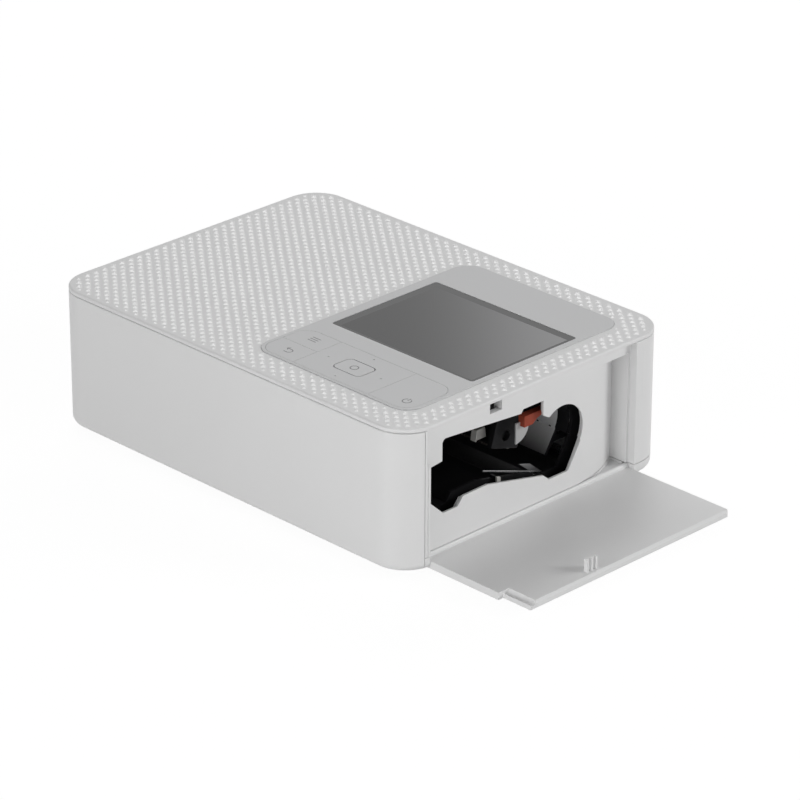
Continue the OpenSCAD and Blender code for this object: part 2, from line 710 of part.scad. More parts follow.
module main_casing() color(shell_c) difference() {
  union() {
    difference() {
      union() {
        difference() {
          translate([0, 0, casing_z])
            soft_block(body_l, body_d, casing_top - casing_z, corner_r, 0, 0.5);
          block(-far / 2, -far, -1, far / 2, strip_y, far);
        }
        rounded_plate(-right_x + fd_inset, front_y + fd_inset, right_x - fd_inset,
          rear_y - fd_inset, corner_r - fd_inset, casing_z, casing_top);
      }
      translate([0, 0, -1]) linear_extrude(far) room_outline();
    }
    for (q = posts) translate([q[0], q[1], split_z]) cylinder(r = q[2], h = post_top - split_z);
    // Corner fillets that tie the posts to the walls
    block(-right_x + 1.5, front_y + 13.2, casing_z, -right_x + post_in, front_y + 15.2, post_top);
    block(-right_x + 1.5, rear_y - 9.8, casing_z, -right_x + post_in, rear_y - 7.8, post_top);
    block(right_x - 11.5, rear_y - 8.6, casing_z, right_x - 9.5, rear_y - 2, post_top);
    block(right_x - 9.7, front_y + 5.5, casing_z, right_x - 7.7, front_y + 9.9, post_top);
    // Ledges for the main board
    for (y = [card_yc - 26, data_yc + 12])
      block(-room_x - eps, y - 3, board_z - 1.4, -room_x + 4, y + 3, board_z);
    // Lugs for the dust flap
    for (x = [bay_xc - slot_l / 2 - 2.2, bay_xc + slot_l / 2 + 0.4])
      block(x, front_room_y - eps, flap_pin_z - 2.2, x + 1.8, flap_pin_y + 2, flap_pin_z + 2.2);
  }
  // Room for the panel's flange
  rounded_plate(panel_x0 - panel_flange - seam, panel_y0 - panel_flange - seam,
    panel_x1 + panel_flange + seam, panel_y1 + panel_flange + seam,
    panel_r + panel_flange + seam, panel_z - seam, far);
  // Seat of the ribbon door
  block(seat_x, seat_y0, -1, far, seat_y1, far);
  translate([0, 0, scoop_z]) linear_extrude(scoop_top - scoop_z)
    scoop_outline(scoop_r, scoop_y0, scoop_y1);
  along_x(seat_x - 2 * wall, right_x) bay_outline(0);
  // The wall thins to a lip round the opening
  along_x(seat_x - 2 * wall, seat_x - lip_t) bay_outline(lip_back);
  block(seat_x - 2 * wall, latch_cy - latch_hole_w / 2, latch_z - 2.6,
    right_x, latch_cy + latch_hole_w / 2, latch_z + 1.4);
  // Finger scoop in the strip beside the front door
  translate([0, 0, finger_z]) linear_extrude(far) polygon([[right_x + 1, strip_y - 0.4],
    [seat_x, seat_y0 + 1], [seat_x, seat_y0 + 3], [right_x + 1, seat_y0 + 3]]);
  // Fine groove along the strip
  block(right_x - 0.4, strip_y + 0.9, -1, right_x + 1, strip_y + 1.3, finger_z);
  // Paper slot in front and at the back
  block(bay_xc - slot_l / 2, front_y, -1, bay_xc + slot_l / 2, front_room_y + 1, slot_top);
  block(bay_xc - slot_l / 2, room_y - 1, exit_z0, bay_xc + slot_l / 2, rear_y + 1, exit_z1);
  // Vents behind the fan and in the left wall
  along_y(room_y - 1, rear_y + 1) translate([fan_xc, fan_zc]) vent_rows(7);
  along_x(-right_x - 1, -room_x + 1) translate([front_y + 34, fan_zc]) vent_rows(7);
  // Sockets
  along_y(room_y - 1, rear_y + 1) translate([inlet_xc, inlet_z]) circle(3.4);
  block(-right_x - 1, card_yc - card_w / 2 + 0.3, board_z - card_t + 0.1,
    -room_x + 1, card_yc + card_w / 2 - 0.3, board_z - 0.1);
  block(-right_x - 1, data_yc - data_w / 2 - seam, board_z - data_t - seam,
    -room_x + 1, data_yc + data_w / 2 + seam, board_z + seam);
  // Bores of the posts
  for (q = posts) {
    translate([q[0], q[1], split_z - 1]) cylinder(r = pilot_r, h = 13);
    translate([q[0], q[1], post_top - peg_len - 1]) cylinder(r = peg_r + shaft_gap, h = far);
  }
  for (x = [bay_xc - slot_l / 2 - 3, bay_xc + slot_l / 2 - 1])
    rod_x([flap_pin_y, flap_pin_z], 0.85, x, x + 4);
}

module bottom_case() color(shell_c) difference() {
  union() {
    difference() {
      union() {
        difference() {
          translate([0, 0, shell_z])
            soft_block(body_l, body_d, base_h, corner_r, bottom_edge_r, 0);
          block(-far / 2, -far, -1, far / 2, strip_y, far);
        }
        rounded_plate(-right_x + fd_inset + 1, fd_room_y, right_x - fd_inset - 1,
          rear_y - fd_inset - 1, 4, shell_z, split_z);
      }
      difference() {
        block(-room_x, -far / 2, floor_z, room_x, room_y, far);
        // Side walls stay where the front door's wings cover them
        for (s = [-1, 1]) translate([s * (right_x - fd_inset - 2.2), fd_room_y, 0])
          cube([2.4, 2 * (strip_y - fd_room_y) + 2, far], center = true);
        block(sill_x - wall, seat_y0 - 2.2, -1, far, seat_y1 + 2.6, far);
        // Closed floor of the scoop
        linear_extrude(far) scoop_outline(scoop_r - wall, scoop_y0, back_room_y);
        for (x = [-1, 1]) translate([x * (room_x - 5), room_y - 5, 0])
          difference() {
            translate([x > 0 ? 0 : -20, 0, 0]) cube([20, 20, far]);
            cylinder(r = 5, h = far);
          }
      }
    }
    for (q = posts) translate([q[0], q[1], shell_z]) cylinder(r = q[2], h = base_h);
    // Ears that hold the front door's pins
    for (s = [-1, 1], k = [-1, 1])
      translate([s * fd_knuckle_x + k * (fd_knuckle_l / 2 + 2.3), 0, 0])
        along_x(-1.8, 1.8) union() {
          translate([fd_pin_y, fd_pin_z]) circle(1.5);
          translate([fd_pin_y, fd_pin_z - 1]) square([fd_room_y - fd_pin_y + 1, 2.2]);
        }
  }
  // Room for the open ribbon door
  block(sill_x, seat_y0, -1, far, seat_y1, far);
  translate([0, 0, scoop_z]) linear_extrude(far) scoop_outline(scoop_r, scoop_y0, scoop_y1);
  rod_y(rd_pin_x, rd_pin_z, rd_pin_r + 0.01, seat_y0 - 2, seat_y0 + 1);
  rod_y(rd_pin_x, rd_pin_z, rd_pin_r + 0.01, seat_y1 - 1, seat_y1 + 2.4);
  rod_x([fd_pin_y, fd_pin_z], fd_pin_r + 0.01, -far / 2, far / 2);
  for (q = posts) {
    translate([q[0], q[1], 0]) cylinder(r = screw_head_r + 0.2, h = shell_z + screw_head_t + 0.2);
    cylinder_at(q, screw_r + 0.2, 0, split_z + 1);
  }
  for (p = foot_places) translate([p[0], p[1], shell_z - 1]) cylinder(r = foot_r + 0.1, h = 1.6);
}

module cylinder_at(q, r, z0, z1) {
  translate([q[0], q[1], z0]) cylinder(r = r, h = z1 - z0);
}

module rubber_feet() color(rubber_c)
  for (p = foot_places) translate([p[0], p[1], 0]) {
    rotate_extrude() {
      square([foot_r - 0.8, shell_z + 0.6]);
      translate([0, 0.8]) square([foot_r, shell_z - 0.2]);
      translate([foot_r - 0.8, 0.8]) circle(0.8);
    }
  }

module case_screws() color(steel_c)
  for (q = posts) {
    cylinder_at(q, screw_head_r, shell_z + 0.2, shell_z + screw_head_t + 0.2);
    cylinder_at(q, screw_r, shell_z + screw_head_t, split_z + 9);
  }

module top_cover() color(shell_c) difference() {
  union() {
    translate([0, 0, cover_z]) soft_block(body_l, body_d, cover_t, corner_r, 0.2, cover_edge_r);
    for (q = posts) {
      cylinder_at(q, q[2] - 0.7, post_top, cover_z + eps);
      cylinder_at(q, peg_r, post_top - peg_len, cover_z);
    }
    // Tongues behind the casing's front wall
    for (x = [-right_x / 2, right_x / 3])
      block(x - 5, front_room_y + 0.2, post_top, x + 5, front_room_y + 1.6, cover_z + eps);
  }
  rounded_plate(panel_x0 - panel_fit, panel_y0 - panel_fit, panel_x1 + panel_fit,
    panel_y1 + panel_fit, panel_r + panel_fit, cover_z - 1, far);
}

// Outline of the keypad zone, drawn in by g
module pad_outline(g) {
  plan_rect(pad_x0 + g, pad_y0 + g, pad_x1 - g, pad_y1 - g, pad_r - g);
}

module control_panel() color(panel_c) difference() {
  union() {
    translate([(panel_x0 + panel_x1) / 2, (panel_y0 + panel_y1) / 2, panel_z])
      soft_block(panel_l, panel_d, body_h - panel_z, panel_r, 0, 0.3);
    rounded_plate(panel_x0 - panel_flange, panel_y0 - panel_flange, panel_x1 + panel_flange,
      panel_y1 + panel_flange, panel_r + panel_flange, panel_z, cover_z);
    for (p = board_posts) translate([p[0], p[1], key_board_top])
      cylinder(r = 1.5, h = panel_z - key_board_top + eps);
  }
  rounded_plate(window_x0 - window_fit, window_y0 - window_fit, window_x1 + window_fit,
    window_y1 + window_fit, 1.2, window_z, far);
  rounded_plate(window_x0 + window_ledge, window_y0 + window_ledge, window_x1 - window_ledge,
    window_y1 - window_ledge, 1, -1, far);
  translate([0, 0, -1]) linear_extrude(far) pad_outline(0);
}

module display_window() color([0.2, 0.2, 0.22])
  rounded_plate(window_x0, window_y0, window_x1, window_y1, 1.1, window_z, window_z1);

module screen_module() color(dark_c) {
  block(window_x0 - 0.6, window_y0 - 1.6, screen_z, window_x1 + 0.6, window_y1 + 3.6, panel_z);
}

module key_board() color(board_c) {
  block(panel_x0 + 0.4, pad_y0 - 2.4, key_board_top - board_t, panel_x1 + 1.2,
    pad_y1 + 4, key_board_top);
  for (p = switch_places) translate([p[0], p[1], key_board_top - eps]) {
    cylinder(r = 2.2, h = 1.2);
    cylinder(r = 1.2, h = 1.75);
  }
}

// One key of the keypad zone, with its stem and the retaining tabs under the panel
module pad_key(x0, y0, x1, y1, tabs) {
  translate([0, 0, key_z]) linear_extrude(body_h - key_z) intersection() {
    pad_outline(key_gap);
    translate([x0, y0]) square([x1 - x0, y1 - y0]);
  }
  block(x0 + 2.2, y0 + 2.2, key_flange_z - key_flange_t, x1 - 2.2, y1 - 2.2, key_z + eps);
  for (t = tabs) block(t[0], t[1], key_flange_z - key_flange_t, t[2], t[3], key_flange_z);
}

module menu_key() color(panel_c)
  pad_key(pad_x0, pad_yc + key_gap / 2, nav_x0 - key_gap, pad_y1,
    [[pad_x0 - 1.4, pad_yc + 3, pad_x0 + 4, pad_yc + 8]]);

module back_key() color(panel_c)
  pad_key(pad_x0, pad_y0, nav_x0 - key_gap, pad_yc - key_gap / 2,
    [[pad_x0 - 1.4, pad_yc - 8, pad_x0 + 4, pad_yc - 3]]);

module power_key() color(panel_c)
  pad_key(nav_x1 + key_gap, pad_y0, pad_x1, pad_y1,
    [[pad_x1 - 4, pad_yc - 3, pad_x1 + 1.4, pad_yc + 3]]);

module nav_pad() color(panel_c) difference() {
  pad_key(nav_x0, pad_y0, nav_x1, pad_y1,
    [[ok_x - 8, pad_y0 - 1, ok_x + 8, pad_y0 + 4], [ok_x - 8, pad_y1 - 4, ok_x + 8, pad_y1 + 1.4]]);
  rounded_plate(ok_x - ok_l / 2 - ok_gap, pad_yc - ok_d / 2 - ok_gap, ok_x + ok_l / 2 + ok_gap,
    pad_yc + ok_d / 2 + ok_gap, 2 + ok_gap, -1, far);
  // Room for the flange of the middle key
  rounded_plate(ok_x - ok_l / 2 - 1.6, pad_yc - ok_d / 2 - 1.6, ok_x + ok_l / 2 + 1.6,
    pad_yc + ok_d / 2 + 1.6, 2, -1, key_z);
  // Four dots, one for each direction
  for (p = [[dot_x, 0], [-dot_x, 0], [0, dot_y], [0, -dot_y]])
    translate([ok_x + p[0], pad_yc + p[1], body_h - 0.15]) cylinder(r = 0.45, h = 1);
}

module ok_key() color(panel_c) {
  rounded_plate(ok_x - ok_l / 2, pad_yc - ok_d / 2, ok_x + ok_l / 2, pad_yc + ok_d / 2, 2,
    key_flange_z - eps, body_h);
  rounded_plate(ok_x - ok_l / 2 - 1.1, pad_yc - ok_d / 2 - 1.1, ok_x + ok_l / 2 + 1.1,
    pad_yc + ok_d / 2 + 1.1, 2, key_flange_z - key_flange_t, key_flange_z);
}

module front_door() color(shell_c) difference() {
  union() {
    difference() {
      translate([0, 0, shell_z])
        soft_block(body_l, body_d, casing_top - shell_z, corner_r, bottom_edge_r, 0.5);
      rounded_plate(-right_x + fd_t, front_y + fd_t, right_x - fd_t, rear_y - fd_t,
        corner_r - fd_t, -1, far);
      block(-far / 2, fd_edge_y, -1, far / 2, far, far);
      // The wings stop short of the table, so that they can swing
      for (s = [-1, 1]) translate([s * right_x, fd_pin_y + far / 2 - 2, fd_bottom - 5])
        cube([20, far, 10], center = true);
      // Notches for the ears
      for (s = [-1, 1], k = [-1, 1])
        translate([s * fd_knuckle_x + k * (fd_knuckle_l / 2 + 2.3), 0, 0])
          rod_x([fd_pin_y, fd_pin_z], 2.2, -2.1, 2.1);
    }
    for (s = [-1, 1]) translate([s * fd_knuckle_x, 0, 0])
      along_x(-fd_knuckle_l / 2, fd_knuckle_l / 2) {
        translate([fd_pin_y, fd_pin_z]) circle(fd_knuckle_r);
        translate([front_y + fd_t - 0.5, fd_pin_z - 1.1])
          square([fd_pin_in - fd_t + 0.5, 2.2]);
      }
  }
  for (s = [-1, 1]) translate([s * fd_knuckle_x, 0, 0])
    rod_x([fd_pin_y, fd_pin_z], fd_pin_r + shaft_gap, -fd_knuckle_l, fd_knuckle_l);
}

module front_hinge_pins() color(steel_c)
  for (s = [-1, 1]) translate([s * fd_knuckle_x, 0, 0])
    rod_x([fd_pin_y, fd_pin_z], fd_pin_r, -fd_knuckle_l / 2 - 4.1, fd_knuckle_l / 2 + 4.1);

module dust_flap() color(dark_c) {
  block(flap_x0, flap_pin_y - flap_t / 2, casing_z - 0.7, flap_x1, flap_pin_y + flap_t / 2,
    flap_pin_z);
  rod_x([flap_pin_y, flap_pin_z], flap_pin_r, flap_x0 - 2.2, flap_x1 + 2.2);
}

module ribbon_door() color(shell_c) difference() {
  union() {
    intersection() {
      along_y(rd_y0, rd_y1) polygon([[rd_x0, rd_out + 0.6], [rd_x0 + 0.6, rd_out],
        [rd_x1 - 0.5, rd_out], [rd_x1, rd_out + 0.5], [rd_x1, rd_in - 0.9],
        [rd_x1 - 0.9, rd_in], [rd_x0, rd_in]]);
      rounded_plate(rd_x0 - 3, rd_y0, rd_x1, rd_y1, 1.2, -1, far);
    }
    rod_y(rd_pin_x, rd_pin_z, rd_knuckle_r, rd_y0, rd_y1);
    block(rd_x0, rd_y0, rd_in - 0.2, rd_pin_x + rd_knuckle_r, rd_y1, rd_pin_z);
    block(latch_x - 0.8, latch_cy - latch_w / 2, rd_in - 0.2, latch_x, latch_cy + latch_w / 2,
      rd_in + latch_h);
    for (k = [-1:1]) block(latch_x - eps, latch_cy + k * (latch_w / 2 - 0.4) - 0.4, rd_in - 0.2,
      latch_x + 0.8, latch_cy + k * (latch_w / 2 - 0.4) + 0.4, rd_in + latch_h);
  }
  block(rd_x1 - notch_l, rd_y0 - 1, -1, rd_x1 + 1, rd_y0 + notch_d, far);
  rod_x([rd_y0 + notch_d + 1, rd_in + 0.3], 1.7, rd_x1 - notch_l, rd_x1 + 1);
  rod_y(rd_pin_x, rd_pin_z, rd_pin_r + shaft_gap, rd_y0 - 1, seat_y0 + rd_pin_l - 1.8);
  rod_y(rd_pin_x, rd_pin_z, rd_pin_r + shaft_gap, seat_y1 - rd_pin_l + 1.8, rd_y1 + 1);
}

module ribbon_hinge_pins() color(steel_c) {
  rod_y(rd_pin_x, rd_pin_z, rd_pin_r, seat_y0 - 2, seat_y0 + rd_pin_l - 2);
  rod_y(rd_pin_x, rd_pin_z, rd_pin_r, seat_y1 - rd_pin_l + 2, seat_y1 + 2.3);
}

// A slide between the seat wall and the right chassis plate
module release_lever() color(lever_c) {
  along_x(lever_x0, lever_x1) polygon([[lever_y, lever_z], [stem_y + 2.2, lever_z],
    [stem_y + 2.2, lever_z - 1.6], [lever_y + 9.5, lever_z - 1.6],
    [lever_y + 6.5, lever_z - 2.5], [lever_y + 4.2, lever_z - 4.2], [lever_y, lever_z - 4.2]]);
  block(lever_x0, stem_y - 2.2, lever_z - 1.6, lever_x1, stem_y + 2.2, stem_top);
}

// Open coil along Z: rings of points joined side to side
module coil_spring(r, wire, len, turns) {
  sides = 6;
  steps = turns * 14;
  pts = [for (i = [0:steps]) let (a = i * 360 / 14, z = wire + (len - 2 * wire) * i / steps)
    for (j = [0:sides - 1]) let (b = j * 360 / sides, q = r + wire * cos(b))
      [q * cos(a), q * sin(a), z + wire * sin(b)]];
  faces = concat([[for (j = [0:sides - 1]) j]],
    [for (i = [0:steps - 1], j = [0:sides - 1]) let (k = (j + 1) % sides, a = i * sides,
      b = a + sides) for (f = [[a + j, b + j, a + k], [a + k, b + j, b + k]]) f],
    [[for (j = [sides - 1:-1:0]) steps * sides + j]]);
  polyhedron(pts, faces);
}

module lever_spring() color(steel_c)
  translate([(lever_x0 + lever_x1) / 2, stem_y, stem_top])
    coil_spring(1.05, 0.22, spring_top - stem_top, 5);

// Holes of a chassis plate, in (Y, Z)
module plate_holes() {
  for (p = bush_places) translate(p) circle(bush_r);
  translate(pivot_p) circle(pivot_r + shaft_gap);
}

module left_side_plate() color(steel_c) {
  along_x(left_face, plate_x0) difference() {
    union() {
      translate([plate_y0, floor_z]) square([plate_y1 - plate_y0, plate_top - floor_z]);
      translate([plate_y0, floor_z]) square([left_plate_y1 - plate_y0, plate_top - 7 - floor_z]);
    }
    plate_holes();
    for (p = [take_p, [lobe_yc, lobe_z]]) translate(p) circle(shaft_r + shaft_gap);
  }
  // Flange that carries the main board
  block(left_face - 6, platen_yc - 30, plate_top - plate_t, left_face + eps, platen_yc + 26,
    plate_top);
  // Studs of the two idler gears
  for (p = [feed_idler_p, pickup_idler_p]) rod_x(p, shaft_r, gear_x0 - 0.5, left_face + eps);
}

module right_side_plate() color(steel_c) {
  along_x(plate_x1, plate_x1 + plate_t) difference() {
    translate([plate_y0, floor_z]) square([right_plate_y1 - plate_y0, plate_top - floor_z]);
    plate_holes();
    bay_outline(0.6);
  }
  // Guide rib behind the lever's stem and the stop below it
  block(plate_x1 + plate_t - eps, stem_y + 2.5, lever_z - 2.8, lever_x1, stem_y + 3.5, stem_top + 2);
  block(plate_x1 + plate_t - eps, stem_y + 0.2, lever_z - 2.8, lever_x1, stem_y + 3.5,
    lever_z - 1.65);
  // Bent tab above the lever's spring
  block(plate_x1, stem_y - 3, plate_top - 2, plate_x1 + plate_t, stem_y + 3, spring_top + 1);
  block(plate_x1, stem_y - 3, spring_top, lever_x1, stem_y + 3, spring_top + 1);
}

module cross_bars() color(steel_c)
  for (p = bar_places) rod_x(p, p == bar_places[0] ? 1.2 : bar_r, plate_x0, plate_x1);

module front_spool_trough() color(dark_c)
  along_x(plate_x0, plate_x1) difference() {
    polygon([
      bay_corner(0) - [trough_w, trough_w + 0.4],
      bay_corner(1) + [-trough_w, trough_w],
      bay_corner(2) + [-trough_w, trough_w],
      [bay_corner(3)[0] - trough_w, bay_corner(4)[1] + trough_w],
      [bay_corner(5)[0] + 0.5, bay_corner(4)[1] + trough_w],
      [bay_corner(5)[0] + 0.5, bay_corner(19)[1] - trough_w],
      bay_corner(19) - [0.3 + trough_w / 2, trough_w]]);
    bay_outline(trough_gap);
  }

module rear_trough_section(g) {
  difference() {
    union() {
      translate([lobe_yc, lobe_z]) circle(lobe_r + trough_w);
      polygon([[lobe_yc - 7.4, 14.6 - trough_gap - 1], [lobe_yc + 4.2, 14.6 - trough_gap - 1],
        [lobe_yc + 11.4, 24], [lobe_yc, lobe_z]]);
    }
    bay_outline(g);
    translate([-far, -1]) square([far + platen_yc + platen_r + 0.5, far]);
    // The paper passes below
    translate([-far, -1]) square([2 * far, contact_z + 0.9]);
    translate([lobe_yc - far, lobe_z]) square([far + 6.5, far]);
  }
}
module rear_spool_trough() color(dark_c) {
  along_x(trough_x0, trough_x1) rear_trough_section(trough_gap);
  // Ribs inside the trough
  for (x = [trough_x1 - 3, trough_x1 - 9, trough_x1 - 15])
    along_x(x, x + 0.8) rear_trough_section(0.15);
  // Webs that hang the trough on the rear bar
  for (i = [0:4]) along_x(trough_x0 + i * (trough_x1 - trough_x0 - 1.5) / 4,
      trough_x0 + i * (trough_x1 - trough_x0 - 1.5) / 4 + 1.5) difference() {
    union() {
      translate(rear_bar_p) circle(bar_r + 1.4);
      translate([lobe_yc + 4, rear_bar_p[1] - 1.2])
        square([rear_bar_p[0] - lobe_yc - 4, 2.4]);
    }
    translate(rear_bar_p) circle(bar_r);
    translate([capstan_yc, pinch_zc]) circle(pinch_r + 0.5);
    bay_outline(trough_gap);
  }
}

module paper_guide() color(dark_c) {
  guide_sheet();
  // Rails on the floor tie the three sheets together
  for (x = [guide_x0, guide_x1 - rail_w])
    block(x, guide_line[0][0], floor_z, x + rail_w, guide_rear_y, rail_top);
}

module guide_sheet() difference() {
  union() {
    along_x(guide_x0, guide_x1) polygon(concat(guide_line,
      [for (i = [len(guide_line) - 1:-1:0]) guide_line[i] - [0, guide_t]]));
    for (x = [guide_x0, guide_rear_x0, bay_xc, guide_rear_x1 - rail_w, guide_x1 - rail_w])
      along_x(x, x + rail_w) polygon(concat(guide_line, [[rear_y - wall - 0.4, floor_z],
        [front_y + 29.5, floor_z]]));
  }
  block(-far, guide_rear_y, -1, guide_rear_x0, far, far);
  block(guide_rear_x1, guide_rear_y, -1, far, far, far);
  block(-far, platen_yc - platen_r - 0.5, -1, far, platen_yc + platen_r + 0.5, far);
  block(-far, capstan_yc - capstan_r - 0.5, -1, far, capstan_yc + capstan_r + 0.5, far);
  for (x = pickup_places)
    block(x - 8, pickup_yc - pickup_r - 0.4, -1, x + 8, pickup_yc + pickup_r + 0.4, far);
}

// The print unit is drawn lowered onto the platen, then raised to its rest
module raised() {
  translate([0, pivot_yc, pivot_z]) rotate([-head_lift, 0, 0])
    translate([0, -pivot_yc, -pivot_z]) children();
}
module print_head() color([0.75, 0.72, 0.62]) raised() {
  block(head_x0, platen_yc - 7.5, contact_z + 0.35, head_x1, platen_yc + 4.5, contact_z + 1.4);
  along_x(head_x0, head_x1) translate([platen_yc, contact_z + 0.6]) circle(0.6);
}

module heat_sink() color(steel_c) raised() difference() {
  block(head_x0, platen_yc - 8.5, sink_z, head_x1, platen_yc, sink_z + 8);
  for (y = [platen_yc - 6.9, platen_yc - 3.4])
    block(head_x0 - 1, y, sink_z + 3, head_x1 + 1, y + 1.6, far);
}

module head_arm() {
  difference() {
    translate([lobe_yc, lobe_z]) circle(arm_out);
    translate([lobe_yc, lobe_z]) circle(arm_in);
    translate([lobe_yc - far, lobe_z - far - 1.5]) square([far, far]);
    translate([lobe_yc - far, lobe_z - far + 1]) square([2 * far, far - 2.5]);
    translate([lobe_yc, lobe_z - far + 1]) square([far, far]);
  }
  difference() {
    translate([pivot_yc - 8, pivot_z - 3]) square([8, 7]);
    translate([lobe_yc, lobe_z]) circle(arm_in);
  }
  difference() {
    translate([platen_yc - 12.2, contact_z + 1.4]) square([13.7, lobe_z - contact_z - 1]);
    translate([lobe_yc, lobe_z]) circle(arm_in);
    // Hole for the assembly jig
    translate([platen_yc - 5.8, contact_z + 6]) circle(2);
  }
  translate(pivot_p) circle(4);
}
module head_carrier() color(dark_c) raised() {
  for (x = [head_x0 - 0.8 - arm_t, head_x1 + 0.8]) along_x(x, x + arm_t) difference() {
    head_arm();
    translate(pivot_p) circle(pivot_r);
  }
  block(head_x0 - 0.8 - arm_t, platen_yc - 9, beam_z, head_x1 + 0.8 + arm_t, platen_yc - 1,
    beam_z + 2);
  // End blocks that hold the heat sink
  for (x = [head_x0 - 0.8 - eps, head_x1]) block(x, platen_yc - 9.5, sink_z, x + 0.8 + eps,
    platen_yc, beam_z + 1);
}

module head_pivot_shaft() color(steel_c)
  rod_x(pivot_p, pivot_r, shaft_end_x, right_end_x);

module head_sector_gear() color(gear_c)
  translate([gear_x0, pivot_yc, pivot_z]) rotate([90, 0, 90]) difference() {
    linear_extrude(gear_w) union() {
      intersection() {
        gear_outline(sector_n);
        polygon([[0, 0], 30 * [cos(-58), sin(-58)], 30 * [cos(-18), sin(-18)],
          30 * [cos(22), sin(22)]]);
      }
      circle(sector_hub_r);
    }
    translate([0, 0, -1]) cylinder(r = pivot_r, h = far);
  }

// Motor with its flange and two spacers to the left chassis plate
module motor(p, r, dirs) {
  rod_x(p, r, motor_face - motor_l, motor_face - 1);
  rod_x(p, 2.4, motor_face - motor_l - 1, motor_face);
  for (a = dirs) {
    q = p + (r + 3) * [cos(a), sin(a)];
    rod_x(q, 1.4, motor_face - 1 - eps, left_face);
    translate([motor_face - 2.2, p[0], p[1]]) rotate([90, 0, 90]) linear_extrude(1.2)
      rotate(a) union() {
        translate([0, -2.2]) square([r + 3, 4.4]);
        translate([r + 3, 0]) circle(2.2);
      }
  }
}

module feed_motor() color(steel_c) motor(feed_pinion_p, feed_motor_r, [25, 155]);
module ribbon_motor() color(steel_c) motor(ribbon_pinion_p, small_motor_r, [55, -30]);
module lift_motor() color(steel_c) motor(lift_pinion_p, small_motor_r, [80, -90]);

// Pinion on its motor's shaft
module pinion(p, n, a) {
  gear_x(p, n, a, 1, 0);
  rod_x(p, 1, motor_face + 0.2, gear_x1 + 1);
}
module feed_pinion() color(brass_c) pinion(feed_pinion_p, feed_pinion_n, feed_pinion_a);
module ribbon_pinion() color(brass_c) pinion(ribbon_pinion_p, ribbon_pinion_n, ribbon_pinion_a);
module lift_pinion() color(brass_c) pinion(lift_pinion_p, lift_pinion_n, lift_pinion_a);

module feed_idler() color(gear_c)
  gear_x(feed_idler_p, feed_idler_n, feed_idler_a, shaft_r + shaft_gap, 3);
module pickup_idler() color(gear_c)
  gear_x(pickup_idler_p, pickup_idler_n, pickup_idler_a, shaft_r + shaft_gap, 3);
module platen_gear() color(gear_c) gear_x(platen_p, platen_z_n, platen_a, shaft_r, 0);
module capstan_gear() color(gear_c) gear_x(capstan_p, capstan_z_n, capstan_a, shaft_r, 0);
module pickup_gear() color(gear_c) gear_x(pickup_p, pickup_n, pickup_a, shaft_r, 3);
module take_up_gear() color(gear_c) gear_x(take_p, take_n, 0, shaft_r, 3);

module platen_roller() color(rubber_c)
  ring_x(platen_p, platen_r, shaft_r, bay_xc - platen_l / 2, bay_xc + platen_l / 2);
module platen_shaft() color(steel_c) rod_x(platen_p, shaft_r, shaft_end_x, right_end_x);

module shaft_bushes() color([0.9, 0.85, 0.7])
  for (p = bush_places) {
    ring_x(p, bush_r, shaft_r + shaft_gap, left_face, plate_x0);
    ring_x(p, bush_r + 0.2, shaft_r + shaft_gap, plate_x0, plate_x0 + 0.6);
    ring_x(p, bush_r, shaft_r + shaft_gap, plate_x1, plate_x1 + plate_t);
    ring_x(p, bush_r + 0.2, shaft_r + shaft_gap, plate_x1 - 0.6, plate_x1);
  }

module capstan_roller() color(steel_c) {
  rod_x(capstan_p, capstan_r, bay_xc - platen_l / 2, bay_xc + platen_l / 2);
  rod_x(capstan_p, shaft_r, shaft_end_x, right_end_x);
}

module pinch_roller() color(rubber_c) {
  rod_x([capstan_yc, pinch_zc], pinch_r, bay_xc - platen_l / 2 + 4, bay_xc + platen_l / 2 - 4);
  rod_x([capstan_yc, pinch_zc], shaft_r, left_face - 0.4, right_end_x);
}

module pickup_rollers() color(rubber_c)
  for (x = pickup_places) ring_x(pickup_p, pickup_r, shaft_r, x - 7, x + 7);
module pickup_shaft() color(steel_c) rod_x(pickup_p, shaft_r, shaft_end_x, right_end_x);

// Spindle that turns a ribbon spool, with six splines
module spindle(p, x0) {
  rod_x(p, shaft_r, x0, plate_x0 + 10);
  along_x(plate_x0 + 0.4, plate_x0 + 9) translate(p) {
    circle(spline_r - 0.8);
    for (a = [0:60:300]) rotate(a) translate([0, -0.6]) square([spline_r, 1.2]);
  }
}
module take_up_spindle() color(gear_c) spindle(take_p, shaft_end_x);
module supply_spindle() color(gear_c) {
  spindle([lobe_yc, lobe_z], gear_x1 + 0.6);
  // Brake disc outside the plate
  rod_x([lobe_yc, lobe_z], 4, gear_x1 + 0.6, left_face - 0.3);
}

module main_board() color(board_c) {
  block(-room_x + 0.5, card_yc - board_front, board_z, left_face - 1, data_yc + board_back,
    board_top);
  for (c = chips) block(c[0], c[1], board_top - eps, c[0] + c[2], c[1] + c[3], board_top + c[4]);
  for (i = [0:2]) translate([capacitor_x, capacitor_y + i * capacitor_pitch, board_top - eps])
    cylinder(r = capacitor_r, h = capacitor_h);
}

module fan_frame() color(dark_c) {
  along_y(fan_y0, fan_y1) translate([fan_xc, fan_zc]) difference() {
    translate([-fan_a / 2, -fan_a / 2]) square(fan_a);
    circle(fan_r);
    for (x = [-1, 1], z = [-1, 1]) translate([x, z] * (fan_a / 2 - 2)) circle(1);
  }
  // Legs down to the floor
  for (k = [-1, 1]) block(fan_xc + k * (fan_a / 2 - 2) - 2, fan_y0, floor_z,
    fan_xc + k * (fan_a / 2 - 2) + 2, fan_y1, fan_zc - fan_a / 2 + 1);
  along_y(fan_y0, fan_y0 + 1) translate([fan_xc, fan_zc]) difference() {
    union() {
      circle(4.5);
      for (a = [0:120:240]) rotate(a + 30) translate([0, -0.8]) square([fan_r + 0.5, 1.6]);
    }
    circle(1 + shaft_gap);
  }
}

